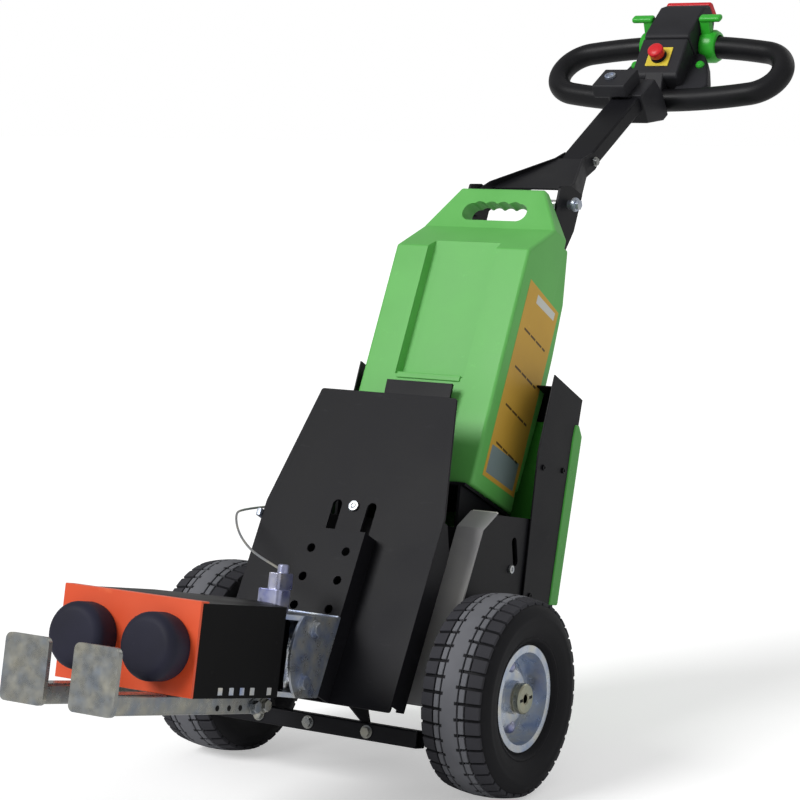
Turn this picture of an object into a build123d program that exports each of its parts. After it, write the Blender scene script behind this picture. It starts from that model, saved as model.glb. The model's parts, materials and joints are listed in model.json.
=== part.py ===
# Electric tow tractor with two driven wheels, a rear castor, a coupling in front and a tiller behind.
# Millimetres. +Z up, the coupling points to -Y and the tiller to +Y, +X is the right-hand wheel
# as seen from the tiller. The origin is on the floor under the middle of the whole machine.
from build123d import *
from math import atan2, cos, degrees, radians, sin, tan
import os

os.makedirs("parts", exist_ok=True)

# Wheels and stance
WHEEL_R = 165.0             # 13 inch pneumatic tyre
TYRE_HALF = 61.0
TREAD_HALF = 50.0
TREAD_DROP = 6.0            # how much lower the tread's shoulders lie than its crown
BEAD_R = 78.0               # 6 inch rim
FLANGE_R = 87.0
RIM_HALF = 46.0
RIM_WALL = 3.0
DISC_X = 6.0                # the rim's disc, out from the wheel's middle plane
DISC_EDGE_R = 62.0
DISH = 14.0
HUB_R = 27.0
HUB_OUT = 34.0
HUB_IN = 16.0
TRACK = 536.0               # between the wheels' middle planes
AXLE_R = 12.5
NUT_R = 17.0
PARK_LEAN = 11.9            # the machine leans back by this much on its castor
RUN_CLEARANCE = 0.05        # radial clearance of a shaft in its bore
SEAT = 0.3                  # gap between faces that sit on each other
AXLE_Y = -236.2             # the axle's place before the middle of the whole length

# Thicknesses
PLATE = 5.0
SHEET = 3.0
LUG = 8.0

# Front plate
PLATE_LEAN = 18.6           # behind the machine's own upright
PLATE_FOOT = (-186.0, -39.0)
PLATE_LENGTH = 542.0
PLATE_HALF = 176.0
PLATE_TOP_HALF = 134.0
PLATE_SHOULDER = 330.0      # height along the plate where its sides start to draw in
FLANGE_DEPTH = 45.0
FLANGE_FOOT = 12.0
FLANGE_LIP = 15.0
SLOT_X = 34.0
SLOT_R = 9.0
SLOT_TOP = 344.0
SLOT_FOOT = 60.0
SCREW_R = 6.0
SCREW_RISE = 335.0

# Slide channel with its two rows of holes
CHANNEL_HALF = 60.0
CHANNEL_DEPTH = 36.5
CHANNEL_TOP = 280.0
HOLE_R = 7.5
HOLE_PITCH = 50.0
HOLE_TOP = 243.5
HOLE_ROWS = 5

# Coupling
EAR_TOP = 98.0              # upper face of the upper ear
EAR_FOOT = -31.0            # lower face of the lower ear
EAR_R = 38.0
BRACKET_HALF = 62.0
GUSSET_REACH = 26.0         # the gussets' front edge, before the king pin
PIN_Y = -284.0
PIN_R = 12.5
PIN_FOOT = -46.0
KNUCKLE_R = 30.0
KNUCKLE_PLAY = 1.0
NECK_Y = -345.0             # where the housing starts to widen from its knuckle
HOUSING_HALF = 126.0
HOUSING_TOP = 115.0
HOUSING_FOOT = -21.5
HOUSING_FRONT = -642.0
HOUSING_REAR = -430.0
BUMPER_SHEET = 6.0
BUMPER_LIP = 14.0
BUMPER_R = 50.0
BUMPER_LENGTH = 46.0
BUMPER_X = 67.0
BUMPER_Z = 46.0
ARM_X = 63.0
ARM_HALF = 20.0
ARM_HEIGHT = 30.0
ARM_WALL = 4.0
ARM_REAR = -395.0
TAB_FACE = -794.0
TAB_HALF = 40.0
TAB_TOP = 46.0

# Battery
BATTERY_LEAN = 15.2
BATTERY_FOOT = (62.0, 336.0)
BATTERY_HALF = 136.0
SHOULDER = 432.0            # heights along the battery's front
WAIST = 499.0
BATTERY_TOP = 583.0
TOP_HALF = 86.0
DEPTH_FOOT = 158.0
DEPTH_WAIST = 118.0
DEPTH_TOP = 104.0
WAIST_BACK = 69.0
TOP_BACK = 83.0
CASE_ROUND = 6.0
RECESS_HALF = 66.0
RECESS_DEPTH = 17.0
RECESS_FOOT = 192.0
GRIP_HALF = 66.0
GRIP_HEIGHT = 36.0
GRIP_Z = 533.0
FINGERS = 4
FINGER_R = 15.0
FINGER_RISE = 7.0
TRAY_HALF = 130.0
TRAY_FRONT = 10.0
TONGUE_GAP = 5.0
TONGUE_TOP = 178.0
TRAY_RIB_X = 118.0

# Chassis
CHASSIS_HALF = 195.0
WALL_DEPTH = 89.0           # the box's front wall, behind the front plate
CHASSIS_FOOT = -30.0
CHASSIS_FOOT_REAR = 110.0   # the floor is level up to here and rises behind it
CHASSIS_REAR = 262.0
CHASSIS_REAR_FOOT = 62.0
DECK_TOP = 262.0
SIDE_TOP = 290.0
BEVEL_REAR = 50.0
STAY_X = 110.0
STAY_FOOT = 60.0
STAY_TOP = 300.0
SIDE_SLOT = (131.0, 232.0)
SIDE_SLOT_LENGTH = 50.0
SIDE_SLOT_WIDTH = 16.0
BLOCK_IN = 150.0
BLOCK_OUT = 200.0
BLOCK_FOOT = 40.0
BLOCK_WALL = 5.0
CROSSBAR_Y = -120.0
CROSSBAR_Z = -80.0
CROSSBAR_HALF = 200.0
CROSSBAR_SIZE = 28.0
HANGER_X = 94.0
HANGER_DEPTH = 40.0

# Rear cover
COVER_HALF = 200.0
COVER_FRONT = 168.0
COVER_FOLD = 405.0          # the cover's front leans back above this
COVER_TOP_FRONT = (198.0, 541.0)
COVER_TOP_REAR = (308.0, 508.0)
PANEL_TOP = (303.0, 459.0)
PANEL_FOOT = (278.0, 146.0)
PANEL_HALF = 188.0
PANEL_DEPTH = 15.0
COVER_FOOT = 130.0
BAY_GAP = 6.0               # between the battery and the walls round it

# Drive unit
DRIVE_HALF = 105.0
DRIVE_FRONT = -35.0
DRIVE_REAR = 110.0
DRIVE_FOOT = -24.0
DRIVE_TOP = 95.0
TUBE_R = 25.0
TUBE_HALF = 205.0
SHAFT_IN = 120.0

# Castor
CASTOR_R = 62.5
CASTOR_HALF = 19.0
CASTOR_HUB_HALF = 22.0
CASTOR_Y = 300.0            # behind the axle, along the floor
CASTOR_TRAIL = 38.0
CASTOR_TOP = 158.0
CASTOR_PLATE_LENGTH = 100.0
CASTOR_PLATE_HALF = 50.0
CASTOR_PIN_R = 6.0
RACE_R = 28.0
RACE_HEIGHT = 12.0
FORK_WALL = 4.0
CHEEK_GAP = 6.0             # the castor's cheeks end this far under the cover

# Mast and tiller; every rise is above the floor as the machine is parked
MAST_HALF = 106.0           # over the mast's two plates
MAST_GAP = 10.0             # behind the battery
MAST_WIDTH = 36.0
MAST_SHOULDER = 440.0
PIVOT_BACK = 50.0
PIVOT_RISE = 588.0
MAST_END_R = 38.0
PIVOT_R = 8.0
BRACE_FOOT = 400.0
BRACE_TOP = 470.0
YOKE_RISE = 17.9
YOKE_LENGTH = 229.0
YOKE_END_R = 36.0
YOKE_KNEE_R = 17.0
YOKE_PLAY = 1.0
YOKE_STRAIGHT = 45.0
ARM_RISE = 28.5
ARM_WIDTH = 60.0
ARM_DEPTH = 31.0
ARM_LENGTH = 285.0
ARM_LAP = 25.0
HEAD_ALONG = 337.0          # the ring's near side, from the knee
HEAD_BELOW = -54.0
RING_RISE = 42.0
RING_HALF = 246.0
RING_DEPTH = 162.0
RING_END_R = 62.0
GRIP_R = 22.5
CONSOLE_HALF = 52.0
NECK_HALF = 60.0
THROTTLE_R = 25.0
THROTTLE_WIDTH = 22.0
THROTTLE_Y = 155.0
THROTTLE_Z = 50.0
CONSOLE_LIP = (-28.5, 4.0)  # the console's top, from its near edge over its crest to its far end
CONSOLE_CREST = (54.0, 50.0)
CONSOLE_BACK = (132.0, 66.0)
CONSOLE_END = (237.0, 46.0)
ESTOP_R = 19.0
ESTOP_HEIGHT = 24.0

SIDES = (("left", -1), ("right", 1))


def frame_at(base, y=0.0, z=0.0, lean=0.0):
    """The frame at (y, z) of another one, leaning back by lean degrees more than that one."""
    spot = base.from_local_coords((0, y, z))
    return Plane(origin=spot, x_dir=base.x_dir, z_dir=base.z_dir).rotated((-lean, 0, 0))


def side_view(base, x=0.0):
    """A frame's plane seen from the right: sketches run back and up, and extrude to the right."""
    return Plane(origin=base.from_local_coords((x, 0, 0)), x_dir=base.y_dir, z_dir=base.x_dir)


def front_view(base, y=0.0):
    """A frame's plane seen from the front: sketches run right and up, and extrude forwards."""
    return Plane(origin=base.from_local_coords((0, y, 0)), x_dir=base.x_dir, z_dir=-base.y_dir)


def seen_from(target, base, y, z):
    """The point (y, z) of one frame, in the measures of the target frame."""
    spot = target.to_local_coords(base.from_local_coords((0, y, z)))
    return (spot.Y, spot.Z)


def save(piece, name):
    """Label a finished piece and write it as its own file."""
    piece.part.label = name
    export_step(piece.part, f"parts/{name}.step")


BACK_DRAFT = degrees(atan2(DEPTH_FOOT - DEPTH_WAIST, WAIST))
level = Plane(origin=(0, AXLE_Y, 0))
machine = Plane(origin=(0, AXLE_Y, WHEEL_R)).rotated((-PARK_LEAN, 0, 0))
plate = frame_at(machine, *PLATE_FOOT, PLATE_LEAN)
battery = frame_at(machine, *BATTERY_FOOT, BATTERY_LEAN)
back = frame_at(battery, DEPTH_FOOT, 0, -BACK_DRAFT)
pivot_rise = YOKE_RISE + PARK_LEAN + BATTERY_LEAN - BACK_DRAFT
yoke = frame_at(back, PIVOT_BACK, PIVOT_RISE, -pivot_rise)
arm = frame_at(yoke, YOKE_LENGTH, 0, YOKE_RISE - ARM_RISE)
head = frame_at(arm, HEAD_ALONG, HEAD_BELOW, ARM_RISE - RING_RISE)


def wheel_section(side):
    """Sketch plane through one wheel's axis: x runs out of the machine, y is the radius."""
    return Plane(origin=(side * TRACK / 2, AXLE_Y, WHEEL_R), x_dir=(side, 0, 0), z_dir=(0, -side, 0))


def wheel_axis(side):
    return Axis((side * TRACK / 2, AXLE_Y, WHEEL_R), (side, 0, 0))


# Tyres: a rounded carcass with a shallow crown, seated in its rim
bead_half = RIM_HALF - RIM_WALL - SEAT
bead_top = FLANGE_R + RIM_WALL
tread_edge = WHEEL_R - TREAD_DROP
for name, side in SIDES:
    with BuildPart() as tyre:
        with BuildSketch(wheel_section(side)):
            with BuildLine():
                Polyline(
                    (-bead_half, bead_top),
                    (-bead_half, BEAD_R + SEAT),
                    (bead_half, BEAD_R + SEAT),
                    (bead_half, bead_top),
                )
                ThreePointArc(
                    (bead_half, bead_top),
                    (TYRE_HALF, (bead_top + tread_edge) / 2),
                    (TREAD_HALF, tread_edge),
                )
                ThreePointArc((TREAD_HALF, tread_edge), (0, WHEEL_R), (-TREAD_HALF, tread_edge))
                ThreePointArc(
                    (-TREAD_HALF, tread_edge),
                    (-TYRE_HALF, (bead_top + tread_edge) / 2),
                    (-bead_half, bead_top),
                )
            make_face()
        revolve(axis=wheel_axis(side))
    save(tyre, f"tyre_{name}")

# Rims: a pressed barrel with two flanges, a dished disc and a hub
barrel_in = BEAD_R - RIM_WALL
disc_foot_r = HUB_R + DISH
for name, side in SIDES:
    with BuildPart() as rim:
        with BuildSketch(wheel_section(side)):
            with BuildLine():
                Polyline(
                    (-RIM_HALF, barrel_in),
                    (RIM_HALF, barrel_in),
                    (RIM_HALF, FLANGE_R),
                    (RIM_HALF - RIM_WALL, FLANGE_R),
                    (RIM_HALF - RIM_WALL, BEAD_R),
                    (RIM_WALL - RIM_HALF, BEAD_R),
                    (RIM_WALL - RIM_HALF, FLANGE_R),
                    (-RIM_HALF, FLANGE_R),
                    close=True,
                )
            make_face()
            with BuildLine():
                Polyline(
                    (DISC_X, barrel_in + 1),
                    (DISC_X, DISC_EDGE_R),
                    (DISC_X + DISH, disc_foot_r),
                    (DISC_X + DISH, HUB_R - 1),
                    (DISC_X + DISH + RIM_WALL, HUB_R - 1),
                    (DISC_X + DISH + RIM_WALL, disc_foot_r + RIM_WALL / 2),
                    (DISC_X + RIM_WALL, DISC_EDGE_R + RIM_WALL / 2),
                    (DISC_X + RIM_WALL, barrel_in + 1),
                    close=True,
                )
            make_face()
            with Locations(((HUB_OUT - HUB_IN) / 2, (HUB_R + AXLE_R + RUN_CLEARANCE) / 2)):
                Rectangle(HUB_OUT + HUB_IN, HUB_R - AXLE_R - RUN_CLEARANCE)
        revolve(axis=wheel_axis(side))
    save(rim, f"rim_{name}")

# Axle shafts, each with a washer and a nut against its hub
WASHER = 3.0
NUT_HEIGHT = 10.0
hub_face = TRACK / 2 + HUB_OUT
for name, side in SIDES:
    with BuildPart() as axle:
        with BuildSketch(side_view(machine, side * SHAFT_IN)):
            Circle(AXLE_R)
        extrude(amount=side * (hub_face + WASHER - SHAFT_IN))
        with BuildSketch(side_view(machine, side * hub_face)):
            Circle(NUT_R + 5)
        extrude(amount=side * WASHER)
        with BuildSketch(side_view(machine, side * (hub_face + WASHER))):
            RegularPolygon(NUT_R, 6)
        extrude(amount=side * NUT_HEIGHT)
    save(axle, f"axle_{name}")

# Drive unit: a plain block on the axle's line, with a tube round each shaft
with BuildPart() as drive:
    with BuildSketch(side_view(machine, -DRIVE_HALF)):
        with Locations(((DRIVE_FRONT + DRIVE_REAR) / 2, (DRIVE_FOOT + DRIVE_TOP) / 2)):
            RectangleRounded(DRIVE_REAR - DRIVE_FRONT, DRIVE_TOP - DRIVE_FOOT, 18)
    extrude(amount=2 * DRIVE_HALF)
    with BuildSketch(side_view(machine, -TUBE_HALF)):
        Circle(TUBE_R)
    extrude(amount=2 * TUBE_HALF)
    for name, side in SIDES:
        with BuildSketch(side_view(machine, side * (SHAFT_IN - 1))):
            Circle(AXLE_R + RUN_CLEARANCE)
        extrude(amount=side * (TUBE_HALF - SHAFT_IN + 1), mode=Mode.SUBTRACT)
save(drive, "drive_unit")

# Chassis: a box of side plates, a sloping front wall, a floor, a deck and a rear wall,
# with two stays that carry the front plate
slope = radians(PLATE_LEAN)


def wall_point(z):
    """Where the front wall's outer face reaches the machine's height z."""
    rise = (z - PLATE_FOOT[1] + WALL_DEPTH * sin(slope)) / cos(slope)
    return seen_from(machine, plate, WALL_DEPTH, rise)


chassis_outline = (
    wall_point(CHASSIS_FOOT),
    wall_point(DECK_TOP),
    (BEVEL_REAR, SIDE_TOP),
    (CHASSIS_REAR, SIDE_TOP),
    (CHASSIS_REAR, CHASSIS_REAR_FOOT),
    (CHASSIS_FOOT_REAR, CHASSIS_FOOT),
)
box_outline = (
    wall_point(CHASSIS_FOOT),
    wall_point(DECK_TOP),
    (CHASSIS_REAR, DECK_TOP),
    (CHASSIS_REAR, CHASSIS_REAR_FOOT),
    (CHASSIS_FOOT_REAR, CHASSIS_FOOT),
)
with BuildPart() as chassis:
    with BuildSketch(side_view(machine, -CHASSIS_HALF)):
        with BuildLine():
            Polyline(*chassis_outline, close=True)
        make_face()
    extrude(amount=2 * CHASSIS_HALF)
    with BuildSketch(side_view(machine, PLATE - CHASSIS_HALF)):
        with BuildLine():
            Polyline(*box_outline, close=True)
        make_face()
        offset(amount=-PLATE, kind=Kind.INTERSECTION)
    extrude(amount=2 * (CHASSIS_HALF - PLATE), mode=Mode.SUBTRACT)
    with BuildSketch(front_view(machine, CHASSIS_REAR)):
        with Locations((0, (DECK_TOP + SIDE_TOP) / 2)):
            Rectangle(2 * (CHASSIS_HALF - PLATE), SIDE_TOP - DECK_TOP)
    extrude(amount=2 * CHASSIS_REAR, mode=Mode.SUBTRACT)
    with BuildSketch(side_view(machine, -CHASSIS_HALF)):
        Circle(TUBE_R + SEAT)
        with Locations(Location(SIDE_SLOT, PLATE_LEAN - 90)):
            SlotOverall(SIDE_SLOT_LENGTH, SIDE_SLOT_WIDTH)
    extrude(amount=2 * CHASSIS_HALF, mode=Mode.SUBTRACT)
    for name, side in SIDES:
        with BuildSketch(side_view(plate, side * STAY_X)):
            with Locations(((PLATE + WALL_DEPTH) / 2, (STAY_FOOT + STAY_TOP) / 2)):
                Rectangle(WALL_DEPTH - PLATE, STAY_TOP - STAY_FOOT)
        extrude(amount=side * PLATE)
save(chassis, "chassis_frame")

# Corner covers: a bright leaf before the box's front wall that folds back over its bevel
block_face = WALL_DEPTH - BLOCK_WALL
bevel_foot = wall_point(DECK_TOP)
for name, side in SIDES:
    with BuildPart() as block:
        with BuildSketch(side_view(machine, side * BLOCK_IN)):
            with BuildLine():
                leaf = Polyline(
                    seen_from(machine, plate, WALL_DEPTH, BLOCK_FOOT),
                    bevel_foot,
                    (BEVEL_REAR, SIDE_TOP),
                )
                offset(amount=BLOCK_WALL, side=Side.LEFT, kind=Kind.INTERSECTION)
            make_face()
        extrude(amount=side * (BLOCK_OUT - BLOCK_IN))
    save(block, f"side_block_{name}")

# Front plate: a tall plate that draws in above its shoulder, with a flange down each side
with BuildPart() as front:
    with BuildSketch(front_view(plate)) as outline:
        with BuildLine():
            Polyline(
                (-PLATE_HALF, 0),
                (PLATE_HALF, 0),
                (PLATE_HALF, PLATE_SHOULDER),
                (PLATE_TOP_HALF, PLATE_LENGTH),
                (-PLATE_TOP_HALF, PLATE_LENGTH),
                (-PLATE_HALF, PLATE_SHOULDER),
                close=True,
            )
        make_face()
        fillet(outline.vertices(), PLATE)
        for name, side in SIDES:
            with Locations(Location((side * SLOT_X, (SLOT_FOOT + SLOT_TOP) / 2), 90)):
                SlotOverall(SLOT_TOP - SLOT_FOOT, 2 * SLOT_R, mode=Mode.SUBTRACT)
        with Locations((0, SCREW_RISE)):
            Circle(SCREW_R, mode=Mode.SUBTRACT)
    extrude(amount=-PLATE)
    for name, side in SIDES:
        with BuildSketch(side_view(plate, side * PLATE_HALF)):
            with BuildLine():
                Polyline(
                    (0, FLANGE_FOOT),
                    (FLANGE_DEPTH, FLANGE_FOOT),
                    (FLANGE_DEPTH, PLATE_SHOULDER - FLANGE_DEPTH),
                    (FLANGE_DEPTH / 3, PLATE_SHOULDER - PLATE),
                    (0, PLATE_SHOULDER - PLATE),
                    close=True,
                )
            make_face()
        extrude(amount=-side * PLATE)
        with BuildSketch(side_view(plate, side * PLATE_HALF)):
            with BuildLine():
                Polyline(
                    (FLANGE_DEPTH - SHEET, FLANGE_FOOT),
                    (FLANGE_DEPTH, FLANGE_FOOT),
                    (FLANGE_DEPTH, PLATE_SHOULDER - FLANGE_DEPTH),
                    (FLANGE_DEPTH - SHEET, PLATE_SHOULDER - FLANGE_DEPTH),
                    close=True,
                )
            make_face()
        extrude(amount=-side * FLANGE_LIP)
save(front, "front_plate")

# Slide channel: a bent channel on the front plate, with two rows of height holes
with BuildPart() as channel:
    with BuildSketch(plate):
        with Locations((0, -CHANNEL_DEPTH / 2)):
            Rectangle(2 * CHANNEL_HALF, CHANNEL_DEPTH)
        with Locations((0, (PLATE - CHANNEL_DEPTH) / 2)):
            Rectangle(2 * (CHANNEL_HALF - PLATE), CHANNEL_DEPTH - PLATE, mode=Mode.SUBTRACT)
    extrude(amount=CHANNEL_TOP)
    with BuildSketch(front_view(plate, -CHANNEL_DEPTH)):
        for row in range(HOLE_ROWS):
            with Locations((-SLOT_X, HOLE_TOP - row * HOLE_PITCH), (SLOT_X, HOLE_TOP - row * HOLE_PITCH)):
                Circle(HOLE_R)
    extrude(amount=-PLATE, mode=Mode.SUBTRACT)
save(channel, "slide_channel")

# Hitch bracket: a web on the channel, two ears round the king pin and a gusset at each side
web_top = (EAR_TOP - PLATE_FOOT[1] - CHANNEL_DEPTH * sin(slope)) / cos(slope)
web_foot = (EAR_FOOT - PLATE_FOOT[1] - CHANNEL_DEPTH * sin(slope)) / cos(slope)
web_outline = (
    seen_from(machine, plate, -CHANNEL_DEPTH, web_foot),
    seen_from(machine, plate, -CHANNEL_DEPTH, web_top),
    seen_from(machine, plate, -CHANNEL_DEPTH - LUG, web_top),
    seen_from(machine, plate, -CHANNEL_DEPTH - LUG, web_foot),
)
gusset_front = PIN_Y - GUSSET_REACH
with BuildPart() as bracket:
    for ear_foot in (EAR_FOOT, EAR_TOP - LUG):
        with BuildSketch(machine.offset(ear_foot)):
            with BuildLine():
                Polyline(
                    (BRACKET_HALF, PIN_Y),
                    (BRACKET_HALF, web_outline[1][0]),
                    (-BRACKET_HALF, web_outline[1][0]),
                    (-BRACKET_HALF, PIN_Y),
                )
                Line((-BRACKET_HALF, PIN_Y), (-EAR_R, PIN_Y - GUSSET_REACH))
                ThreePointArc(
                    (-EAR_R, PIN_Y - GUSSET_REACH),
                    (0, PIN_Y - EAR_R),
                    (EAR_R, PIN_Y - GUSSET_REACH),
                )
                Line((EAR_R, PIN_Y - GUSSET_REACH), (BRACKET_HALF, PIN_Y))
            make_face()
            with Locations((0, PIN_Y)):
                Circle(PIN_R + RUN_CLEARANCE, mode=Mode.SUBTRACT)
        extrude(amount=LUG)
    with BuildSketch(side_view(machine, -BRACKET_HALF)) as behind_web:
        with BuildLine():
            Polyline(
                web_outline[0],
                web_outline[1],
                (web_outline[1][0] + CHANNEL_DEPTH, web_outline[1][1]),
                (web_outline[1][0] + CHANNEL_DEPTH, web_outline[0][1]),
                close=True,
            )
        make_face()
    extrude(amount=2 * BRACKET_HALF, mode=Mode.SUBTRACT)
    with BuildSketch(side_view(machine, -BRACKET_HALF)):
        with BuildLine():
            Polyline(*web_outline, close=True)
        make_face()
    extrude(amount=2 * BRACKET_HALF)
    for name, side in SIDES:
        with BuildSketch(side_view(machine, side * BRACKET_HALF)):
            with BuildLine():
                Polyline(
                    (PIN_Y, EAR_TOP),
                    web_outline[1],
                    web_outline[0],
                    (PIN_Y, EAR_FOOT),
                )
                ThreePointArc(
                    (PIN_Y, EAR_FOOT),
                    (gusset_front, (EAR_TOP + EAR_FOOT) / 2),
                    (PIN_Y, EAR_TOP),
                )
            make_face()
        extrude(amount=-side * PLATE)
save(bracket, "hitch_bracket")

# King pin: a long pin with a head block, a latch block leaning behind it and a round knob
HEAD_BLOCK = 44.0
LATCH_RISE = 44.0
KNOB_R = 9.0
with BuildPart() as king:
    with BuildSketch(machine.offset(PIN_FOOT)):
        with Locations((0, PIN_Y)):
            Circle(PIN_R)
    extrude(amount=EAR_TOP - PIN_FOOT)
    with BuildSketch(machine.offset(EAR_TOP)):
        with Locations((0, PIN_Y)):
            RectangleRounded(HEAD_BLOCK, HEAD_BLOCK - 8, 8)
    extrude(amount=LATCH_RISE - 8)
    with BuildSketch(machine.offset(EAR_TOP + LATCH_RISE - 8)):
        with Locations((0, PIN_Y + 14)):
            RectangleRounded(HEAD_BLOCK / 2, HEAD_BLOCK, 6)
    extrude(amount=26)
    with BuildSketch(machine.offset(EAR_TOP + LATCH_RISE + 18)):
        with Locations((0, PIN_Y + 18)):
            Circle(KNOB_R)
    extrude(amount=14)
    chamfer(king.edges().group_by(Axis(machine.origin, machine.z_dir))[-1], 2)
save(king, "king_pin")

# Lanyard: a thin wire from the plate's side to the king pin's knob
LANYARD_R = 2.0
LANYARD_RISE = 306.5        # where the wire leaves the front plate's flange
knob_z = EAR_TOP + LATCH_RISE + 25
lanyard_start = (-PLATE_HALF, *seen_from(machine, plate, FLANGE_DEPTH / 2, LANYARD_RISE))
lanyard_points = (
    lanyard_start,
    (lanyard_start[0] - 18, *lanyard_start[1:]),
    (-204, -112, 252),
    (-188, -150, 244),
    (-148, -194, 216),
    (-96, -232, 192),
    (-50, -254, 178),
    (-KNOB_R - 2 * SEAT, PIN_Y + 18, knob_z),
)
lanyard_route = [machine.from_local_coords(point) for point in lanyard_points]


def bend_radii(points):
    """The largest arc that the two runs beside each corner leave room for."""
    radii = []
    for before, corner, after in zip(points, points[1:], points[2:]):
        run_in = corner - before
        run_out = after - corner
        turn = radians(run_in.get_angle(run_out))
        radii.append(0.45 * min(run_in.length, run_out.length) / tan(turn / 2))
    return radii


with BuildPart() as lanyard:
    with BuildLine() as wire:
        FilletPolyline(*lanyard_route, radius=bend_radii(lanyard_route))
    with BuildSketch(Plane(origin=wire.line @ 0, z_dir=wire.line % 0)):
        Circle(LANYARD_R)
    sweep(path=wire.line)
save(lanyard, "pin_lanyard")

# Crossbar under the front plate, hung from it by two lugs
with BuildPart() as crossbar:
    with BuildSketch(side_view(machine, -CROSSBAR_HALF)):
        with Locations((CROSSBAR_Y, CROSSBAR_Z)):
            RectangleRounded(CROSSBAR_SIZE, CROSSBAR_SIZE, 3)
            Rectangle(CROSSBAR_SIZE - 2 * SHEET, CROSSBAR_SIZE - 2 * SHEET, mode=Mode.SUBTRACT)
    extrude(amount=2 * CROSSBAR_HALF)
    for name, side in SIDES:
        with BuildSketch(side_view(machine, side * (HANGER_X - PLATE / 2))):
            with BuildLine():
                Polyline(
                    (CROSSBAR_Y - CROSSBAR_SIZE / 2 + 3, CROSSBAR_Z + CROSSBAR_SIZE / 2),
                    (CROSSBAR_Y + CROSSBAR_SIZE / 2 - 3, CROSSBAR_Z + CROSSBAR_SIZE / 2),
                    seen_from(machine, plate, HANGER_DEPTH, HANGER_DEPTH),
                    seen_from(machine, plate, PLATE, HANGER_DEPTH),
                    seen_from(machine, plate, PLATE, 4),
                    close=True,
                )
            make_face()
        extrude(amount=side * PLATE)
save(crossbar, "crossbar")

# Battery: a moulded case with a sloping shoulder, a front recess and a hand hole for four fingers
with BuildPart() as case:
    with BuildSketch(side_view(battery, -BATTERY_HALF)):
        with BuildLine():
            Polyline(
                (0, 0),
                (0, SHOULDER),
                (WAIST_BACK, WAIST),
                (TOP_BACK, BATTERY_TOP),
                (DEPTH_TOP, BATTERY_TOP),
                (DEPTH_WAIST, WAIST),
                (DEPTH_FOOT, 0),
                close=True,
            )
        make_face()
    extrude(amount=2 * BATTERY_HALF)
    with BuildSketch(front_view(battery, DEPTH_FOOT)):
        with BuildLine():
            Polyline(
                (-BATTERY_HALF, 0),
                (BATTERY_HALF, 0),
                (BATTERY_HALF, WAIST),
                (TOP_HALF, BATTERY_TOP),
                (-TOP_HALF, BATTERY_TOP),
                (-BATTERY_HALF, WAIST),
                close=True,
            )
        make_face()
    extrude(amount=DEPTH_FOOT, mode=Mode.INTERSECT)
    fillet(case.edges(), CASE_ROUND)
    with BuildSketch(front_view(battery, RECESS_DEPTH)):
        with Locations((0, (RECESS_FOOT + WAIST) / 2)):
            Rectangle(2 * RECESS_HALF, WAIST - RECESS_FOOT)
    extrude(amount=RECESS_DEPTH, taper=-12, mode=Mode.SUBTRACT)
    with BuildSketch(front_view(battery, DEPTH_FOOT)):
        with Locations((0, GRIP_Z)):
            SlotOverall(2 * GRIP_HALF, GRIP_HEIGHT)
        finger_pitch = (2 * GRIP_HALF - GRIP_HEIGHT) / FINGERS
        with Locations((0, GRIP_Z + FINGER_RISE)):
            with GridLocations(finger_pitch, 1, FINGERS, 1):
                Circle(FINGER_R)
    extrude(amount=DEPTH_FOOT, mode=Mode.SUBTRACT)
save(case, "battery_case")

# Battery tray: a shelf, a leaning tongue before the battery and two ribs down to the deck
tongue_run = TONGUE_TOP * tan(radians(BACK_DRAFT))
with BuildPart() as tray:
    with BuildSketch(side_view(battery, -TRAY_HALF)):
        with BuildLine():
            Polyline(
                (-TRAY_FRONT, -SEAT),
                (-TRAY_FRONT, -SEAT - PLATE),
                (DEPTH_FOOT, -SEAT - PLATE),
                (DEPTH_FOOT, -SEAT),
                close=True,
            )
        make_face()
    extrude(amount=2 * TRAY_HALF)
    with BuildSketch(side_view(battery, -RECESS_HALF)):
        with BuildLine():
            Polyline(
                (-TONGUE_GAP, -SEAT),
                (-TONGUE_GAP - tongue_run, TONGUE_TOP),
                (-TONGUE_GAP - tongue_run - PLATE, TONGUE_TOP),
                (-TONGUE_GAP - PLATE, -SEAT - 1),
                close=True,
            )
        make_face()
    extrude(amount=2 * RECESS_HALF)
    for name, side in SIDES:
        with BuildSketch(side_view(machine, side * TRAY_RIB_X)):
            with BuildLine():
                Polyline(
                    seen_from(machine, battery, -TRAY_FRONT, -SEAT - PLATE),
                    seen_from(machine, battery, DEPTH_FOOT, -SEAT - PLATE),
                    (seen_from(machine, battery, DEPTH_FOOT, 0)[0] - PLATE, DECK_TOP),
                    (BATTERY_FOOT[0] - TRAY_FRONT, DECK_TOP),
                    close=True,
                )
            make_face()
        extrude(amount=side * PLATE)
save(tray, "battery_tray")

# Mast: two tall plates behind the battery that carry the tiller's pivot, with a brace between them
back_lean = radians(BATTERY_LEAN - BACK_DRAFT)
back_foot = seen_from(machine, back, 0, 0)


def deck_in_back(y):
    """The deck's height in the frame of the battery's back, at a distance y behind it."""
    return (DECK_TOP - back_foot[1] + y * sin(back_lean)) / cos(back_lean)


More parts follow.
